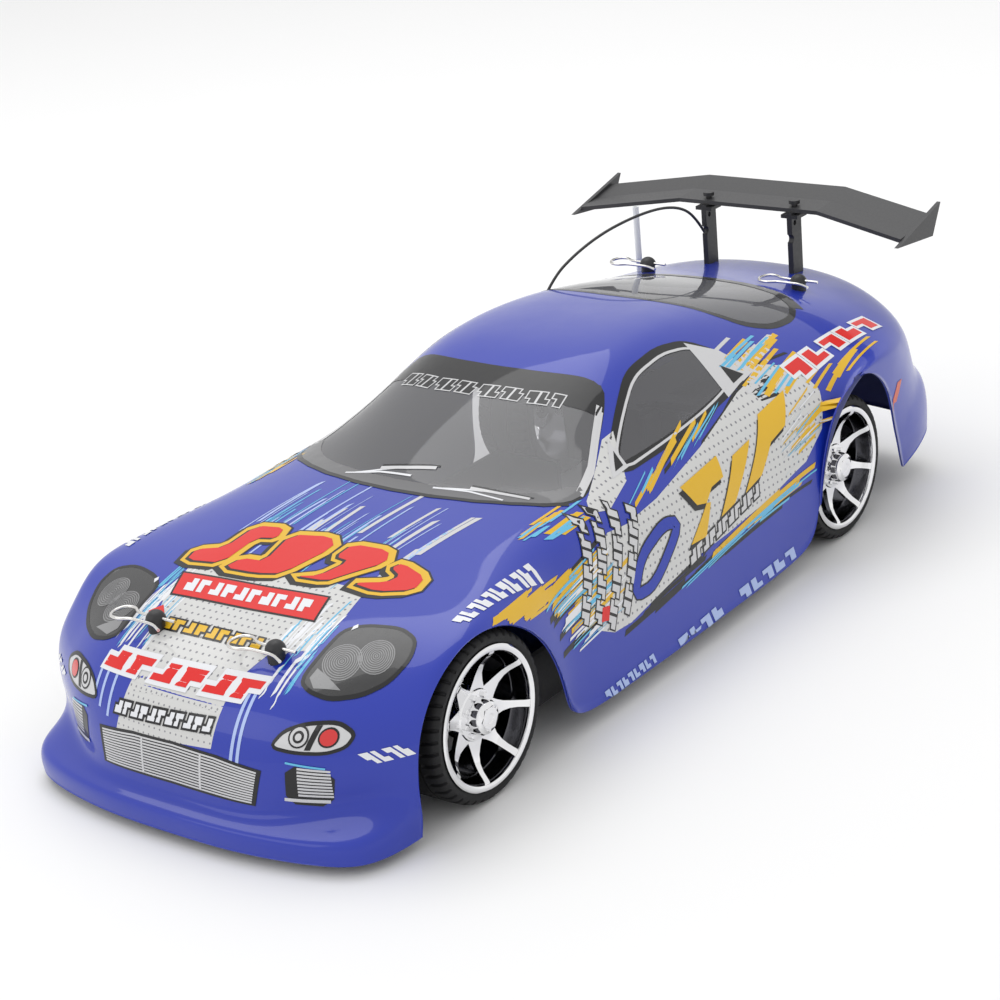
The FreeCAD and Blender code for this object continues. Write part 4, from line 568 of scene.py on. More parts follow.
def grown(outline, by):
    """The outline moved outwards by an even width."""
    turning = sum(ax * fy - bx * ay for (ax, ay), (bx, fy) in
                  zip(outline, outline[1:] + outline[:1]))
    side = by if turning > 0 else -by
    out = []
    for before, at, after in zip(outline[-1:] + outline[:-1], outline,
                                 outline[1:] + outline[:1]):
        normals = []
        for (ax, ay), (bx, fy) in ((before, at), (at, after)):
            size = math.hypot(bx - ax, fy - ay) or 1
            normals.append(((fy - ay) / size, (ax - bx) / size))
        (n1x, n1y), (n2x, n2y) = normals
        share = side / max(0.4, 1 + n1x * n2x + n1y * n2y)
        out.append((at[0] + (n1x + n2x) * share, at[1] + (n1y + n2y) * share))
    return out


def dense(points, step, closed=True):
    out = []
    pairs = list(zip(points, points[1:] + points[:1])) if closed else list(zip(points, points[1:]))
    for (ax, ay), (bx, by) in pairs:
        pieces = max(1, int(math.hypot(bx - ax, by - ay) / step))
        out += [(ax + (bx - ax) * i / pieces, ay + (by - ay) * i / pieces) for i in range(pieces)]
    if not closed:
        out.append(points[-1])
    return out


def inside(point, outline):
    x, y = point
    hit = False
    for (ax, ay), (bx, by) in zip(outline, outline[1:] + outline[:1]):
        if (ay > y) != (by > y) and x < (bx - ax) * (y - ay) / (by - ay) + ax:
            hit = not hit
    return hit


PRINTS = {}


def keep(name, verts, faces, finish):
    """Collects shapes that share a name and a finish, so that they end as one piece."""
    store = PRINTS.setdefault(name, {"verts": [], "faces": [], "finish": finish})
    base = len(store["verts"])
    store["verts"] += [tuple(p) for p in verts]
    store["faces"] += [tuple(i + base for i in f) for f in faces]


def patch(name, outline, view, finish, layer=1, step=2.5):
    """A filled outline laid on the skin."""
    edge = dense(outline, step)
    xs, ys = [p[0] for p in edge], [p[1] for p in edge]
    grid = []
    for i in range(1, int((max(xs) - min(xs)) / step) + 1):
        for j in range(1, int((max(ys) - min(ys)) / step) + 1):
            spot = (min(xs) + i * step, min(ys) + j * step)
            if inside(spot, edge):
                grid.append(spot)
    flat = [Vector(p) for p in edge + grid]
    rim = [list(range(len(edge)))]
    verts, _, faces, _, _, _ = delaunay_2d_cdt(flat, [], rim, 1, 1e-5)
    keep(name, lay([(p.x, p.y) for p in verts], view, layer), faces, finish)


def ribbon(name, points, width, view, finish, layer=1, closed=False, step=2.0):
    """A line of even width laid on the skin."""
    line = dense(points, step, closed)
    count = len(line)
    lefts, rights = [], []
    for i, (x, y) in enumerate(line):
        before = line[(i - 1) % count] if closed or i else line[i]
        after = line[(i + 1) % count] if closed or i < count - 1 else line[i]
        dx, dy = after[0] - before[0], after[1] - before[1]
        size = math.hypot(dx, dy) or 1
        nx, ny = -dy / size * width / 2, dx / size * width / 2
        lefts.append((x + nx, y + ny))
        rights.append((x - nx, y - ny))
    verts = lay(lefts, view, layer) + lay(rights, view, layer)
    last = count if closed else count - 1
    faces = [(i, (i + 1) % count, count + (i + 1) % count, count + i) for i in range(last)]
    keep(name, verts, faces, finish)


def build(name, verts, faces, finishes, body="car", smooth=True, face_finish=None):
    """A mesh with its finish, riding on one body."""
    mesh = bpy.data.meshes.new(name)
    mesh.from_pydata([tuple(p) for p in verts], [], [tuple(f) for f in faces])
    for finish in finishes:
        mesh.materials.append(MAT[finish])
    if face_finish is not None:
        mesh.polygons.foreach_set("material_index", face_finish)
    if smooth:
        mesh.shade_smooth()
    made = bpy.data.objects.new(name, mesh)
    bpy.context.scene.collection.objects.link(made)
    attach(made, body)
    return made


# %% [markdown]
# ## Windows
# The windows are left clear of paint and tinted, so one looks through them at the dark
# inside. Their outlines are drawn from above for the screen and the hatch and from the
# side for the door glass.

# %% Window outlines
screen_half = [(9, 0), (7, 24), (1, 45), (9, 50), (21, 55), (34, 61), (47, 66.5), (56, 65),
               (63, 59), (69, 49), (74, 36), (77.5, 18), (78.5, 0)]
SCREEN = rounded(both_halves(screen_half), 2)
hatch_half = [(-76, 0), (-77, 25), (-82, 41), (-93, 52), (-108, 58), (-124, 58),
              (-136, 52), (-144, 38), (-147, 20), (-148, 0)]
HATCH = rounded(both_halves(hatch_half), 2)
DOOR_GLASS = rounded([(33, 77.5), (-6, 101), (-16, 104.5), (-35, 106.5), (-52, 104.5),
                      (-65, 97), (-74, 86.5), (-63, 85), (-40, 82), (-10, 79.3)], 2)


def opened(point):
    """True where a point of the skin lies in a window."""
    x, y, z = point / MM
    if z < 70:
        return False
    if inside((x, y), SCREEN) and -5 < x < 90:
        return True
    if inside((x, y), HATCH) and -155 < x < -70:
        return True
    return abs(y) > 40 and inside((x, z), DOOR_GLASS) and -80 < x < 40


keep_quad = np.ones(quads.shape[:2], bool)
centres = (skin[:-1, :-1] + skin[1:, 1:]) / 2
for i, j in zip(*np.nonzero(centres[:, :, 2] > 70 * MM)):
    keep_quad[i, j] = not opened(centres[i, j])
print("window quads taken out:", int((~keep_quad).sum()))

# %% [markdown]
# ## Building the shell
# Outside and inside skins are joined round the bottom edge. The outside is blue under
# gloss; the inside is the dull back of the paint.

# %% Shell mesh
WALL = 1.0 * MM
inner = skin - normal * WALL
inner[:, :, 2] = np.where(inner[:, :, 2] < 4 * MM, 4 * MM, inner[:, :, 2])
shell_verts = np.concatenate([corners, inner.reshape(-1, 3)])
offset = LENGTHWISE * ACROSS
outer_faces = quads[keep_quad]
inner_faces = quads[keep_quad][:, ::-1] + offset
loop = np.concatenate([index[:, 0], index[-1, 1:], index[-2::-1, -1], index[0, -2:0:-1]])
after = np.roll(loop, -1)
edge_faces = np.stack([loop, after, after + offset, loop + offset], -1)
all_faces = np.concatenate([outer_faces, inner_faces, edge_faces])
which = np.concatenate([np.zeros(len(outer_faces), int), np.ones(len(inner_faces), int),
                        np.zeros(len(edge_faces), int)])
if (normal[5, 5] @ np.cross(across[5, 5], along[5, 5])) > 0:
    all_faces = all_faces[:, ::-1]
shell = build("shell_visual", shell_verts, all_faces, ["blue", "blue_inside"], face_finish=which)
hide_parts("body_shell")
print("shell faces:", len(all_faces))

# %% [markdown]
# ## Glass and its borders
# Each window gets a smoked pane, a black border as the paint mask leaves, a dark band along
# the top of the screen, a grey strip at its foot and two printed wipers.

# %% Panes and borders
patch("pane_screen", SCREEN, "top", "window", layer=0)
patch("pane_hatch", HATCH, "top", "window", layer=0)
for side in ("left", "right"):
    patch("pane_" + side, DOOR_GLASS, side, "side_window", layer=0)
    ribbon("glass_border", grown(DOOR_GLASS, -1.1), 3.2, side, "black_print", 2, closed=True)
    ribbon("glass_line", rounded([(29, 78.3), (-7, 99), (-17, 102.5), (-35, 104.4), (-51, 102.5),
                                  (-63, 96), (-69, 88.5), (-40, 83.6), (-10, 81)], 2),
           0.8, side, "silver_print", 3, closed=True)
    patch("corner_mark", [(31, 78), (20, 79), (18, 88)], side, "silver_print", 3)
    patch("corner_mark_core", [(27, 79.4), (21.5, 80), (20, 84.5)], side, "black_print", 4)
    patch("quarter_panel", [(-52, 83), (-51, 104), (-66, 97), (-76, 86.5), (-63, 85)], side,
          "silver_print", 3)
    patch("quarter_vent", [(-60, 86), (-60, 93), (-69, 87)], side, "black_print", 4)
ribbon("glass_border", SCREEN, 2.4, "top", "black_print", 2, closed=True)
ribbon("glass_border", HATCH, 2.8, "top", "black_print", 2, closed=True)
band_half = [(9, 0), (7, 24), (1, 45), (7, 49.5), (13.5, 50.5), (17.5, 40), (20, 24), (21.5, 0)]
patch("screen_band", both_halves(band_half), "top", "black_print", 3)
BAND_RUNS = (((14.5, -38), (18.5, -20), 4), ((18.5, -19), (19.5, 1), 4),
             ((19.5, 2), (17.5, 22), 4), ((17.5, 23), (13.5, 38), 3))
foot_half = [(72.5, 0), (71.5, 18), (67.5, 36), (62, 48), (55, 56), (45, 62.5), (47, 66.5),
             (56, 65), (63, 59), (69, 49), (74, 36), (77.5, 18), (78.5, 0)]
patch("screen_foot", rounded(both_halves(foot_half), 1), "top", "grey_print", 3)
outer_edge = [(79.5, 0), (78.6, 18), (75, 36), (70, 49), (64, 59.5), (57, 65.8)]
ribbon("screen_rubber", both_halves(outer_edge, closed=False), 2.2, "top", "black_print", 4)
for side in (1, -1):
    pillar = [(48, 64.5 * side), (34, 60.5 * side), (21, 54.3 * side), (9, 49 * side)]
    ribbon("pillar_edge", pillar, 2.2, "top", "silver_print", 3)
    ribbon("pillar_edge", [(x + 1.5, y + 2 * side) for x, y in pillar], 1.0, "top",
           "black_print", 4)
hatch_rear = [(-136, 54), (-144.5, 40), (-148, 21), (-149, 0), (-148, -21), (-144.5, -40),
              (-136, -54)]
ribbon("hatch_rear_border", hatch_rear, 6, "top", "black_print", 3)
for start, end in ((45, 15), (2, -28)):
    arm = [(72, end + 4), (68.5, end + 16), (66, start - 4)]
    ribbon("wipers", [(73, end), (70, (start + end) / 2), (69.5, start)], 1.0, "top",
           "white_print", 5)
    ribbon("wipers", arm, 0.8, "top", "white_print", 5)
    ribbon("wiper_blades", [(63.5, start + 8), (66, start - 4), (68, end + 14)], 1.6, "top",
           "silver_print", 6)
    ribbon("wiper_blades_dark", [(62.3, start + 9), (64.6, start - 4), (66.6, end + 14)], 0.9,
           "top", "black_print", 5)
print("panes and borders laid")

# %% [markdown]
# ## Slanted blocks
# The real shell carries words all over it. A reusable part has none, so each word becomes
# a run of slanted blocks of the same size, slope and colour.

# %% Block lettering
def blocks(name, start, end, height, count, view, finish, slant=0.3, gap=0.2, layer=3,
           back=None, border=0.9):
    """Slanted blocks between two points, each with an outline if a backing is named."""
    (ax, ay), (bx, by) = start, end
    long = math.hypot(bx - ax, by - ay)
    ex, ey = (bx - ax) / long, (by - ay) / long
    nx, ny = -ey, ex
    if height < 0:
        nx, ny, height = -nx, -ny, -height

    def spot(s, t):
        return (ax + ex * (s + slant * t) + nx * t, ay + ey * (s + slant * t) + ny * t)

    wide = long / count
    for k in range(count):
        s0, s1 = k * wide, (k + 1 - gap) * wide
        notch = 0.38 * height if k % 3 else 0.6 * height
        shape = [spot(s0, 0), spot(s1, 0), spot(s1, height), spot(s0 + 0.36 * wide, height),
                 spot(s0 + 0.36 * wide, notch), spot(s0, notch)]
        if k % 2:
            shape = [spot(s0, 0), spot(s0 + 0.42 * wide, 0),
                     spot(s0 + 0.42 * wide, height - notch),
                     spot(s1, height - notch), spot(s1, height), spot(s0, height)]
        if back:
            patch(name + "_back", grown(shape, border), view, back, layer)
        patch(name, shape, view, finish, layer + 1)


def streaks(name, finish, view, seed, count, where, lengths, widths, slope, layer=2):
    """Loose streaks inside a quadrilateral, all on nearly one slope, from a fixed seed."""
    dice = random.Random(seed)
    a, b, c, d = where
    for _ in range(count):
        p, q = dice.random(), dice.random()
        x = (a[0] * (1 - p) + b[0] * p) * (1 - q) + (d[0] * (1 - p) + c[0] * p) * q
        y = (a[1] * (1 - p) + b[1] * p) * (1 - q) + (d[1] * (1 - p) + c[1] * p) * q
        long = dice.uniform(*lengths)
        wide = dice.uniform(*widths)
        lean = slope + dice.uniform(-0.04, 0.04)
        dx, dy = -long / math.hypot(1, lean), long * lean / math.hypot(1, lean)
        tip = dice.uniform(0.5, 2.5)
        shape = [(x, y), (x + dx, y + dy), (x + dx - tip, y + dy + wide), (x - tip, y + wide)]
        if on_skin(shape, view):
            patch(name, shape, view, finish, layer, step=4)


for start, end, count in BAND_RUNS:
    blocks("band_blocks", start, end, -6, count, "top", "black_print", slant=-0.15,
           layer=5, back="silver_print", border=0.55)

# %% [markdown]
# ## Hood graphics
# A light dotted panel runs from the hood down over the nose. On it sit a large red and
# yellow emblem, three bars and thin streaks that fade towards the screen.

# %% Hood
HOOD_PANEL = [(143, 38), (158, 40), (176, 37), (182, 24), (192, 20), (203, 18.5),
              (203, -25), (192, -27), (182, -31), (170, -36), (150, -40), (143, -30)]
patch("hood_panel", HOOD_PANEL, "top", "panel_top", 1)
patch("nose_panel", [(-25.5, 49), (18.8, 49), (17.5, 36), (-28.5, 33)], "front", "panel_front", 1)
streaks("hood_streaks_white", "pale_blue", "top", 3, 26,
        [(118, -40), (146, -40), (146, 44), (118, 46)], (14, 46), (0.5, 1.3), 0.10)
streaks("hood_streaks_cyan", "cyan_print", "top", 4, 22,
        [(114, -38), (150, -42), (150, 40), (114, 46)], (12, 44), (0.4, 0.8), 0.10)
streaks("hood_streaks_silver", "silver_print", "top", 5, 9,
        [(112, -20), (140, -20), (140, 44), (112, 44)], (20, 38), (1.2, 2.2), 0.10)
streaks("nose_streaks_white", "white_print", "top", 6, 22,
        [(168, -43), (198, -44), (198, -26), (168, -36)], (8, 24), (0.5, 1.2), 0.05)
streaks("nose_streaks_cyan", "cyan_print", "top", 7, 16,
        [(160, -45), (196, -47), (196, -26), (160, -38)], (8, 26), (0.4, 0.8), 0.05)
streaks("nose_streaks_white", "white_print", "top", 8, 18,
        [(172, 38), (198, 42), (198, 20), (172, 24)], (8, 26), (0.5, 1.4), 0.05)
streaks("nose_streaks_cyan", "cyan_print", "top", 9, 12,
        [(166, 40), (196, 42), (196, 22), (166, 24)], (8, 24), (0.4, 0.8), 0.05)
for y, low in ((27, 31), (29.5, 27), (-33, 36), (-38, 38), (-42, 40)):
    ribbon("nose_drips", [(y, 54), (y - 1, low)], 1.3, "front", "pale_blue", 2)

RED_BLOCKS = [
    [(148, -44), (141, -45), (137, -34), (121, -32), (119, -20), (126, -18), (128, -26),
     (146, -28)],
    [(148, -25), (141, -22), (140, -12), (122, -14), (118, 2), (124, 8), (144, 0),
     (147, -10)],
    [(144, 6), (141, 15), (130, 20), (129, 13), (120, 14), (119, 30), (126, 34), (138, 24),
     (143, 20)],
    [(141, 30), (136, 42), (131, 44), (128, 38), (124, 40), (128, 53), (136, 54), (142, 42)],
]
for shape in RED_BLOCKS:
    patch("emblem_shadow", grown(rounded([(x + 1.5, y - 1) for x, y in shape], 1), 3.4), "top",
          "black_print", 3)
    patch("emblem_outline", grown(rounded(shape, 1), 3.6), "top", "black_print", 3)
for shape in RED_BLOCKS:
    patch("emblem_yellow", grown(rounded(shape, 1), 2.8), "top", "yellow_print", 4)
for shape in RED_BLOCKS:
    patch("emblem_shade", [(x + 0.8, y - 0.6) for x, y in grown(rounded(shape, 1), 0.4)], "top",
          "black_print", 5)
    patch("emblem_red", rounded(shape, 1), "top", "red_print", 6)

BANNER = [(166, -35), (155, -39), (151, 27), (163, 30)]
patch("banner_black", grown(BANNER, 0.9), "top", "black_print", 3)
patch("banner_red", BANNER, "top", "red_print", 4)
blocks("banner_blocks", (163.3, -32), (160.3, 26), 6.6, 10, "top", "white_print",
       slant=-0.25, layer=5)
blocks("yellow_bar", (181.5, -27), (180.5, 20), 4.6, 9, "top", "yellow_print", slant=-0.2,
       layer=4, back="black_print", border=0.8)
patch("bar_mark", [(181, -32), (176, -38), (172, -34), (178, -28)], "top", "red_print", 5)
blocks("red_bar", (-42, 50.4), (32, 52), 4.6, 6, "front", "red_print", slant=0.35, layer=5,
       back="white_print", border=1.2)
blocks("black_bar", (-30, 38.6), (17, 41.3), 4.0, 11, "front", "white_print", slant=0.2,
       layer=5, back="black_print", border=0.8)
print("hood printed")

# %% [markdown]
# ## Side graphics
# Both flanks carry a long light panel that narrows to the front and sweeps up at the back,
# three tall yellow blocks, a blue ring, columns of small blocks behind the front wheel,
# and slanted streaks in yellow, white and cyan over dark shadows.

# %% Flanks
SIDE_PANEL = [(72, 36), (70, 50), (64, 62), (52, 66), (40, 65), (18, 67), (-20, 74),
              (-58, 83), (-84, 86.5), (-97, 82), (-101, 72), (-93, 58), (-80, 48),
              (-52, 41.5), (-20, 39), (5, 38), (30, 34), (51, 30.5), (62, 31)]
for side in ("left", "right"):
    streaks("flank_shadow_" + side, "black_print", side, 20, 16,
            [(96, 34), (70, 36), (76, 58), (104, 58)], (22, 40), (1.6, 3.0), 0.18, 1)
    streaks("flank_shadow_" + side, "black_print", side, 21, 12,
            [(60, 26), (-70, 34), (-70, 40), (60, 32)], (24, 50), (1.2, 2.4), 0.10, 1)
    streaks("flank_shadow_" + side, "black_print", side, 22, 10,
            [(20, 64), (-50, 76), (-56, 82), (16, 72)], (18, 34), (1.2, 2.4), 0.26, 1)
    patch("flank_panel_" + side, SIDE_PANEL, side, "panel_side", 2)
    streaks("flank_yellow_" + side, "yellow_print", side, 30, 30,
            [(140, 65.5), (122, 60), (108, 56), (122, 66)], (16, 34), (0.8, 1.7), -0.06, 3)
    streaks("flank_yellow_" + side, "yellow_print", side, 31, 30,
            [(104, 58), (88, 34), (72, 40), (84, 60)], (16, 34), (0.8, 2.0), 0.16, 3)
    streaks("flank_white_" + side, "white_print", side, 32, 20,
            [(98, 52), (86, 32), (70, 34), (80, 56)], (14, 30), (0.8, 1.6), 0.18, 4)
    streaks("flank_cyan_" + side, "cyan_print", side, 33, 26,
            [(102, 56), (86, 31), (68, 34), (80, 60)], (12, 28), (0.5, 0.9), 0.18, 5)
    streaks("flank_yellow_" + side, "yellow_print", side, 34, 9,
            [(26, 29), (-70, 36), (-80, 44), (10, 33)], (26, 58), (1.0, 2.4), 0.11, 3)
    streaks("flank_cyan_" + side, "cyan_print", side, 35, 9,
            [(30, 28), (-66, 34), (-76, 42), (20, 31)], (22, 48), (0.6, 1.2), 0.11, 4)
    streaks("flank_yellow_" + side, "yellow_print", side, 36, 8,
            [(34, 64), (-20, 76), (-30, 80), (30, 70)], (16, 30), (1.0, 2.0), 0.30, 3)
    streaks("flank_cyan_" + side, "cyan_print", side, 37, 10,
            [(40, 66), (-26, 76), (-36, 80), (36, 72)], (14, 26), (0.6, 1.2), 0.30, 4)
    streaks("flank_yellow_" + side, "yellow_print", side, 38, 14,
            [(-60, 48), (-84, 54), (-88, 70), (-66, 68)], (12, 24), (0.8, 1.8), 0.28, 3)
    streaks("flank_cyan_" + side, "cyan_print", side, 39, 10,
            [(-62, 46), (-82, 52), (-86, 68), (-66, 64)], (12, 22), (0.5, 1.0), 0.28, 4)
    streaks("flank_white_" + side, "white_print", side, 40, 8,
            [(-60, 50), (-80, 56), (-84, 70), (-66, 66)], (12, 22), (0.6, 1.2), 0.28, 5)
    big = [
        [(6, 44), (-5, 43.5), (-12, 55), (-3, 57), (3, 66), (-25, 69), (-24, 61), (-15, 60)],
        [(-17, 47), (-28, 49), (-48, 68), (-34, 66)],
        [(-36, 50), (-49, 53), (-60, 63), (-72, 66), (-82, 77), (-60, 74)],
    ]
    for shape in big:
        patch("flank_block_shadow_" + side, [(x + 2.2, y - 1.6) for x, y in shape], side,
              "black_print", 6)
        patch("flank_block_" + side, shape, side, "yellow_print", 7)
    blocks("flank_words_" + side, (8, 36.5), (-46, 46), -5, 11, side, "silver_print",
           slant=0.3, layer=6, back="black_print", border=0.8)
    ring = rounded([(47, 39), (33, 38.5), (10, 55), (20, 58), (38, 52)], 2)
    ribbon("ring_dark_" + side, ring, 5.6, side, "black_print", 6, closed=True)
    ribbon("ring_blue_" + side, ring, 4.4, side, "royal_print", 7, closed=True)
    columns = (((77, 40), (59, 74), 7), ((69, 37), (50, 74), 9), ((62, 32), (40, 73), 8),
               ((52, 34), (31, 69), 7))
    for foot, head, count in columns:
        blocks("columns_" + side, foot, head, -4.6, count, side, "silver_print", slant=0.1,
               layer=6, back="black_print", border=0.6)
    patch("column_mark_" + side, [(69, 38), (64.5, 37), (62.5, 42), (67, 43)], side,
          "red_print", 9)
    blocks("sill_" + side, (73, 11.5), (40, 13.5), 4.2, 9, side, "pale_blue", layer=4)
    blocks("sill_" + side, (24, 12), (-9, 14.5), 5.6, 4, side, "pale_blue", layer=4)
    blocks("sill_" + side, (-22, 14), (-68, 15.5), 5.4, 5, side, "pale_blue", layer=4)
    blocks("lip_word_" + side, (192, 38.6), (182.5, 41.2), 4.2, 4, side, "white_print", layer=4)
    patch("tail_mark_" + side, [(-153, 48), (-158, 48), (-163, 57), (-158, 57)], side,
          "orange_print", 3)
for s in (1, -1):
    blocks("fender_word", (145, 77 * s), (96, 75 * s), -5.2 * s, 11, "top", "white_print",
           slant=0.25, layer=4)
    blocks("rear_word", (-92, 72 * s), (-166, 71 * s), -6 * s, 5, "top", "red_print",
           slant=0.3, layer=5, back="white_print", border=1.3)
    streaks("quarter_shadow", "black_print", "top", 60, 8,
            [(-56, 60 * s), (-84, 64 * s), (-84, 76 * s), (-60, 74 * s)], (10, 26), (1.0, 2.0),
            0.12 * s, 2)
    streaks("quarter_yellow", "yellow_print", "top", 61, 16,
            [(-54, 56 * s), (-80, 60 * s), (-86, 78 * s), (-60, 76 * s)], (12, 30), (0.8, 1.8),
            -0.12 * s, 3)
    streaks("quarter_pale", "silver_print", "top", 62, 16,
            [(-54, 56 * s), (-78, 60 * s), (-82, 76 * s), (-60, 74 * s)], (10, 24), (0.8, 2.0),
            -0.12 * s, 3)
    streaks("quarter_cyan", "cyan_print", "top", 63, 10,
            [(-56, 57 * s), (-82, 62 * s), (-86, 78 * s), (-62, 76 * s)], (12, 26), (0.4, 0.9),
            -0.12 * s, 4)
    streaks("shoulder_yellow", "yellow_print", "top", 64, 8,
            [(-96, 79 * s), (-124, 82 * s), (-130, 87 * s), (-100, 85 * s)], (14, 34), (0.7, 1.5),
            -0.10 * s, 3)
    patch("pillar_panel", [(50, 69 * s), (20, 56.8 * s), (13, 57.4 * s), (26, 71 * s),
                           (44, 75 * s), (54, 73 * s)], "top", "panel_top", 2)
    streaks("cowl_yellow", "yellow_print", "top", 50, 9,
            [(92, 62 * s), (74, 62 * s), (70, 74 * s), (90, 74 * s)], (8, 22), (0.8, 1.8), 0.0, 3)
    streaks("cowl_cyan", "cyan_print", "top", 51, 8,
            [(90, 62 * s), (72, 62 * s), (70, 74 * s), (88, 74 * s)], (8, 20), (0.5, 1.0), 0.0, 4)
print("flanks printed")

# %% [markdown]
# ## Lamps, grille and intakes
# On a body of this kind the lamps and openings are prints or stickers: a dark lamp with
# two ribbed reflectors, an oval lamp with a bright ring and a red lens, a barred grille
# and two slatted intakes.

# %% Nose
LAMP = rounded([(189, 48), (187, 43), (174, 43.5), (164, 44), (159, 50), (155.5, 63),
                (158, 71.5), (165, 74), (174, 71.5), (182, 65), (188, 56)], 2)
FOG = rounded([(41, 40.2), (45, 45.5), (52, 48), (62, 48.5), (68, 45), (66, 41), (60, 39),
               (50, 39)], 2)
for s in (1, -1):
    lamp = [(x, y * s) for x, y in LAMP]
    patch("lamp_" + ("left" if s > 0 else "right"), lamp, "top", "lamp_dark", 3)
    ribbon("lamp_edge", lamp, 1.4, "top", "black_print", 4, closed=True)
    for cx, cy, radius in ((175.5, 52.5, 7.2), (169, 62.5, 6.6)):
        bowl = [(x, y * s) for x, y in circle(cx, cy, radius)]
        patch("lamp_bowl", bowl, "top", "lamp_bowl", 4)
        for k in range(9):
            r = radius * (k + 0.6) / 9
            ring = [(x, y * s) for x, y in circle(cx, cy, r)]
            ribbon("lamp_reflector", ring, 0.32, "top", "lamp_ring", 5, closed=True, step=9)
    patch("lamp_tip", [(187.5, 49 * s), (185, 45.5 * s), (181, 46 * s), (184, 58 * s)], "top",
          "lamp_ring", 5)
    patch("lamp_glint", [(163, 47 * s), (161, 48.5 * s), (159.5, 47.5 * s), (161, 46.5 * s)],
          "top", "white_print", 6)
    fog = [(y * s, z) for y, z in FOG]
    patch("fog_plate", fog, "front", "silver_print", 3)
    ribbon("fog_edge", fog, 1.2, "front", "black_print", 4, closed=True)
    patch("fog_shadow", [(53 * s, 40), (55.5 * s, 47.6), (57.5 * s, 47.6), (55 * s, 40)], "front",
          "black_print", 4)
    for radius, finish, layer in ((3.5, "black_print", 5), (2.9, "silver_print", 6),
                                  (1.9, "black_print", 7), (1.1, "silver_print", 8)):
        patch("fog_ring_" + finish, circle(50.5, 44, radius, 20, s), "front", finish, layer,
              step=1.2)
    patch("fog_seat", circle(60.2, 44, 3.3, 20, s, 3.1), "front", "black_print", 5, step=1.2)
    patch("fog_red", circle(60.2, 44, 2.7, 20, s, 2.5), "front", "red_lens", 7, step=1.2)
    intake = [(47 * s, 35), (63 * s, 32.5), (61 * s, 19.5), (47 * s, 21)]
    patch("intake_dark", rounded(intake, 1), "front", "black_print", 3)
    for k in range(9):
        z = 34 - k * 1.2
        ribbon("intake_bars", [(51 * s, z - 0.2), (61.5 * s, z - 1.2)], 0.75, "front",
               "silver_print", 5)
    ribbon("intake_bars", [(46.5 * s, 22.6), (60.5 * s, 21.4)], 1.2, "front", "silver_print", 6)
    ribbon("intake_cyan", [(47 * s, 35.6), (60 * s, 33.8)], 0.7, "front", "cyan_print", 6)
grille_top = [(-38.5, 32), (-20, 34.4), (0, 35.2), (20, 34.4), (38.5, 32)]
grille_low = [(-36, 19), (-18, 19.4), (0, 19.6), (18, 19.4), (36, 19)]
patch("grille_frame", grille_top + grille_low[::-1], "front", "black_print", 3)
BARS = 13
for k in range(BARS):
    part = (k + 1.2) / (BARS + 1.4)
    line = [(a[0] * (1 - part) + b[0] * part, a[1] * (1 - part) + b[1] * part)
            for a, b in zip(grille_top, grille_low)]
    line = [(y * 0.955, z) for y, z in line]
    ribbon("grille_bars", line, 0.62, "front", "silver_print", 5)
for y in (-15, 13):
    ribbon("grille_uprights", [(y, 33.6), (y * 0.97, 20.4)], 0.9, "front", "silver_print", 6)
print("nose printed")

# %% [markdown]
# ## Tail
# The tail carries a dark band with two round red lamps on each side, a plain plate between
# them and a black vent low down, printed like the front.

# %% Tail
for s in (1, -1):
    band = [(y * s, z) for y, z in rounded([(26, 80), (56, 77), (71, 70), (66, 61), (30, 63)], 2)]
    patch("tail_band", band, "rear", "black_print", 2)
    for cy, cz, radius in ((42, 71.5, 6.2), (57.5, 69.3, 5.4)):
        for share, finish, layer in ((1.0, "silver_print", 3), (0.86, "red_lens", 4),
                                     (0.42, "grey_print", 5), (0.3, "red_lens", 6)):
            patch("tail_%s_%d" % (finish, layer), circle(cy, cz, radius * share, side=s),
                  "rear", finish, layer, step=1.5)
plate = [(-20, 75), (20, 75), (20, 64), (-20, 64)]
patch("plate_edge", grown(plate, 0.9), "rear", "black_print", 2)
patch("plate", plate, "rear", "silver_print", 3)
vent = [(-40, 34), (40, 34), (35, 24), (-35, 24)]
patch("tail_vent", vent, "rear", "black_print", 2)
for k in range(4):
    ribbon("tail_vent_bars", [(-37 + k, 32 - 2.2 * k), (37 - k, 32 - 2.2 * k)], 0.5, "rear",
           "grey_print", 3)
print("tail printed")

# %% [markdown]
# ## The prints become pieces
# Shapes that share a name and a finish are one piece, as one pass of ink would be.

# %% Make the prints
for name, store in PRINTS.items():
    piece = build(name, store["verts"], store["faces"], [store["finish"]], smooth=True)
print("printed pieces:", len(PRINTS))

# %% [markdown]
# ## Wheels
# The wheels are moulded plastic with bright plating. Each has a broad lip, eight spokes
# that start at the lip, drop into the dish and widen at the hub, a round cap over the nut
# and a ring of small studs. The barrel behind the spokes is in shade, and that shade is
# painted into its plating as a nearly black grey.

# %% Wheel shapes
FRONT_X, REAR_X, AXLE_Z = 140, -117, 31.5
FACE_Y, WHEEL_WIDE = 86, 26


def turned(profile, segments=96):
    """Verts and faces of a closed profile of (radius, depth) turned about the axle."""
    verts, faces = [], []
    count = len(profile)
    for k in range(segments):
        angle = 2 * math.pi * k / segments
        for radius, depth in profile:
            verts.append((radius * math.cos(angle), -depth, radius * math.sin(angle)))
    for k in range(segments):
        for i in range(count):
            a, b = k * count + i, k * count + (i + 1) % count
            c, d = ((k + 1) % segments) * count + (i + 1) % count, ((k + 1) % segments) * count + i
            faces.append((a, b, c, d))
    return verts, faces


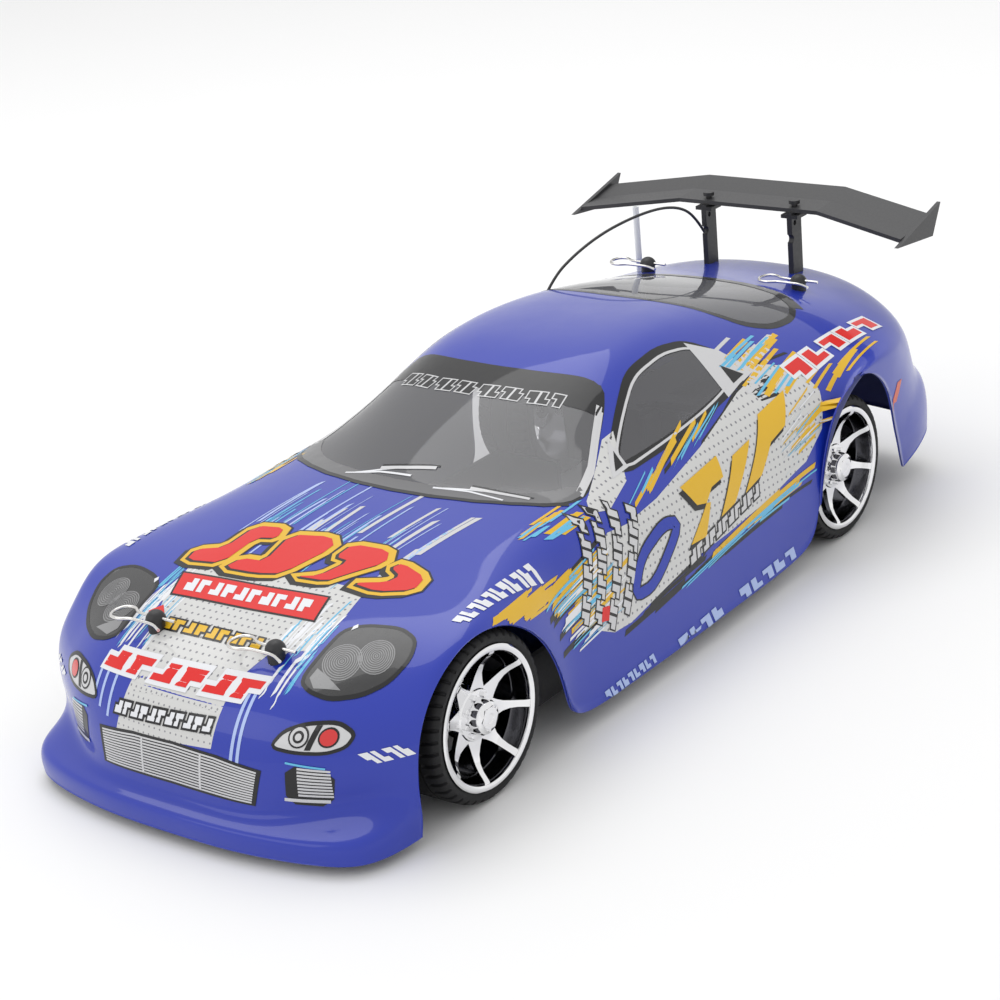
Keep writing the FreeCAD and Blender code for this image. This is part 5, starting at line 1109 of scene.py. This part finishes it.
def spoke(angle, depth_line):
    """One spoke as a swept bar: at each station a radius, a depth, half widths and a drop."""
    verts, faces = [], []
    for radius, depth, half_front, half_back, thick in depth_line:
        for across, down in ((-half_front, 0), (half_front, 0), (half_back, thick),
                             (-half_back, thick)):
            x, z = radius, across
            verts.append((x * math.cos(angle) - z * math.sin(angle), -(depth + down),
                          x * math.sin(angle) + z * math.cos(angle)))
    for k in range(len(depth_line) - 1):
        for i in range(4):
            a, b = 4 * k + i, 4 * k + (i + 1) % 4
            faces.append((a, b, b + 4, a + 4))
    faces += [(0, 1, 2, 3)[::-1], tuple(4 * (len(depth_line) - 1) + i for i in range(4))]
    return verts, faces


def joined(parts):
    verts, faces, marks = [], [], []
    for (part_verts, part_faces), mark in parts:
        base = len(verts)
        verts += part_verts
        faces += [tuple(i + base for i in f) for f in part_faces]
        marks += [mark] * len(part_faces)
    return verts, faces, marks


LIP = [(26.6, 1.2), (26.6, 0.4), (26.1, 0.0), (24.8, 0.1), (24.2, 0.5), (24.0, 1.4), (24.4, 2.6),
       (25.0, 2.6)]
BARREL = [(24.6, 2.2), (23.9, 2.0), (23.3, 7.5), (22.9, 8.0), (22.7, 25.4), (26.2, 25.8),
          (26.6, 25.0), (26.6, 24.4), (25.0, 24.2), (25.0, 2.4)]
HUB = [(9.8, 6.9), (9.2, 6.1), (5.6, 5.9), (5.6, 14), (9.8, 14)]
PLATE = [(6.6, 6.2), (6.4, 2.2), (5.9, 1.2), (4.2, 0.6), (3.9, 0.2), (1.9, 0.15), (1.6, 0.4),
         (0.01, 0.4), (0.01, 0.7), (5.2, 1.6), (5.4, 6.2)]
SPOKE = [(24.6, 0.5, 1.5, 1.2, 1.6), (23.4, 0.8, 1.35, 1.1, 1.8), (22.2, 1.8, 1.25, 1.0, 2.0),
         (20.5, 3.4, 1.25, 1.0, 2.0), (18.0, 5.0, 1.4, 1.2, 2.0), (15.0, 6.0, 1.9, 1.7, 2.0),
         (12.0, 6.4, 2.9, 2.6, 2.0), (9.5, 6.6, 4.0, 3.6, 2.0), (8.2, 6.7, 4.4, 4.0, 2.0)]


def lug(angle):
    verts, faces = [], []
    cx, cz = 7.6 * math.cos(angle), 7.6 * math.sin(angle)
    for depth, radius in ((6.8, 1.05), (5.0, 1.05), (4.8, 0.85)):
        for k in range(8):
            a = 2 * math.pi * k / 8
            verts.append((cx + radius * math.cos(a), -depth, cz + radius * math.sin(a)))
    for ring in (0, 8):
        for k in range(8):
            faces.append((ring + k, ring + (k + 1) % 8, ring + 8 + (k + 1) % 8, ring + 8 + k))
    faces.append(tuple(range(16, 24)))
    return verts, faces


def wheel(name, x, side, body, nodes_hidden, start):
    """Rim, spokes and centre for one corner; the face looks outwards."""
    # Finish 1, the barrel, takes the dark plating that is painted shade.
    parts = [(turned(LIP), 0), (turned(BARREL), 1), (turned(HUB, 48), 0), (turned(PLATE, 48), 0)]
    parts += [(spoke(start + 2 * math.pi * k / 8, SPOKE), 0) for k in range(8)]
    parts += [(lug(start + math.pi / 8 + 2 * math.pi * k / 8), 0) for k in range(8)]
    verts, faces, marks = joined(parts)
    placed = []
    for vx, vy, vz in verts:
        placed.append(((x + vx) * MM, (FACE_Y + vy) * side * MM, (AXLE_Z + vz) * MM))
    if side < 0:
        faces = [f[::-1] for f in faces]
    made = build(name, placed, faces, ["chrome", "barrel_painted_shade"], body, face_finish=marks)
    made.data.set_sharp_from_angle(angle=math.radians(35))
    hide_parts(*nodes_hidden)


CORNERS = (("left_front", FRONT_X, 1, "left_front_wheel", 0.20),
           ("right_front", FRONT_X, -1, "right_front_wheel", 0.20),
           ("left_rear", REAR_X, 1, "rear_wheels", 0.32),
           ("right_rear", REAR_X, -1, "rear_wheels", 0.32))
for corner, x, side, body, start in CORNERS:
    wheel("wheel_" + corner, x, side, body, [corner + "_rim"], start)
for node in ("left_front_wheel_nut", "right_front_wheel_nut", "rear_wheel_nuts"):
    nodes[node].data.materials.clear()
    nodes[node].data.materials.append(MAT["chrome"])
print("wheels built")

# %% [markdown]
# ## Tyres
# Rubber rings with a rounded shoulder. Slanted notches are moulded round both shoulders
# and two grooves run round the middle, so the tread reads even in shade.

# %% Tyre shapes
NOTCHES, COLUMNS = 44, 8
TREAD = [(24.9, 2.0, 0), (26.7, 1.5, 0), (27.0, 0.9, 0), (28.2, 0.5, 0), (29.2, 0.5, 0),
         (30.0, 0.9, 1), (30.7, 1.7, 1), (31.2, 2.8, 1), (31.4, 4.4, 1), (31.45, 6.6, 1),
         (31.5, 7.4, 0), (31.5, 8.2, 0), (30.7, 8.3, 0), (30.7, 9.2, 0), (31.5, 9.3, 0),
         (31.5, 11.5, 0), (31.5, 13.0, 0)]
TREAD += [(r, WHEEL_WIDE - d, n) for r, d, n in TREAD[-2::-1]]


def tyre(name, x, side, body, hidden):
    """One tyre as a ring of the tread's outline, with notches cut on the shoulders."""
    verts, faces = [], []
    around = NOTCHES * COLUMNS
    count = len(TREAD)
    for k in range(around):
        for i, (radius, depth, notched) in enumerate(TREAD):
            skew = 0.35 * (depth if depth < 13 else WHEEL_WIDE - depth)
            angle = 2 * math.pi * (k - skew) / around
            if notched and k % COLUMNS in (0, 1):
                radius -= 0.9
            verts.append(((x + radius * math.cos(angle)) * MM, (FACE_Y - depth) * side * MM,
                          (AXLE_Z + radius * math.sin(angle)) * MM))
    for k in range(around):
        for i in range(count):
            a, b = k * count + i, k * count + (i + 1) % count
            c, d = ((k + 1) % around) * count + (i + 1) % count, ((k + 1) % around) * count + i
            faces.append((a, b, c, d) if side > 0 else (d, c, b, a))
    made = build(name, verts, faces, ["tyre"], body)
    made.data.set_sharp_from_angle(angle=math.radians(40))
    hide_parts(*hidden)
    return made


for corner, x, side, body, _ in CORNERS:
    tyre("tyre_%s_visual" % corner, x, side, body, [corner + "_tyre"])
print("tyres built")

# %% [markdown]
# ## Floor and light
# The car stands on a pale table in a white room. A big soft light hangs over it and a
# weaker one fills from the front, so the gloss shows broad pale reflections. The plain
# view of the colours keeps the inks as bright as they are mixed.

# %% Floor
floor_mesh = bpy.data.meshes.new("studio_floor")
floor_mesh.from_pydata([(-6, -6, 0), (6, -6, 0), (6, 6, 0), (-6, 6, 0)], [], [(0, 1, 2, 3)])
floor_mesh.materials.append(MAT["floor"])
floor = bpy.data.objects.new("studio_floor", floor_mesh)
bpy.context.scene.collection.objects.link(floor)

world = bpy.data.worlds.new("white_room")
world.use_nodes = True
world.node_tree.nodes["Background"].inputs["Color"].default_value = (1, 1, 1, 1)
world.node_tree.nodes["Background"].inputs["Strength"].default_value = 0.9
bpy.context.scene.world = world
bpy.context.scene.view_settings.view_transform = "Standard"


def soft_light(name, at, towards, size, power):
    data = bpy.data.lights.new(name, "AREA")
    data.shape = "RECTANGLE"
    data.size, data.size_y = size
    data.energy = power
    made = bpy.data.objects.new(name, data)
    way = (Vector(towards) - Vector(at)).to_track_quat("-Z", "Y")
    made.matrix_world = Matrix.Translation(Vector(at)) @ way.to_matrix().to_4x4()
    bpy.context.scene.collection.objects.link(made)
    return made


soft_light("top_light", (-0.3, -0.5, 1.6), (0, 0, 0.05), (1.6, 1.2), 11)
soft_light("front_fill", (1.6, -0.6, 0.9), (0.1, 0, 0.05), (1.2, 0.8), 3)
print("lights placed")
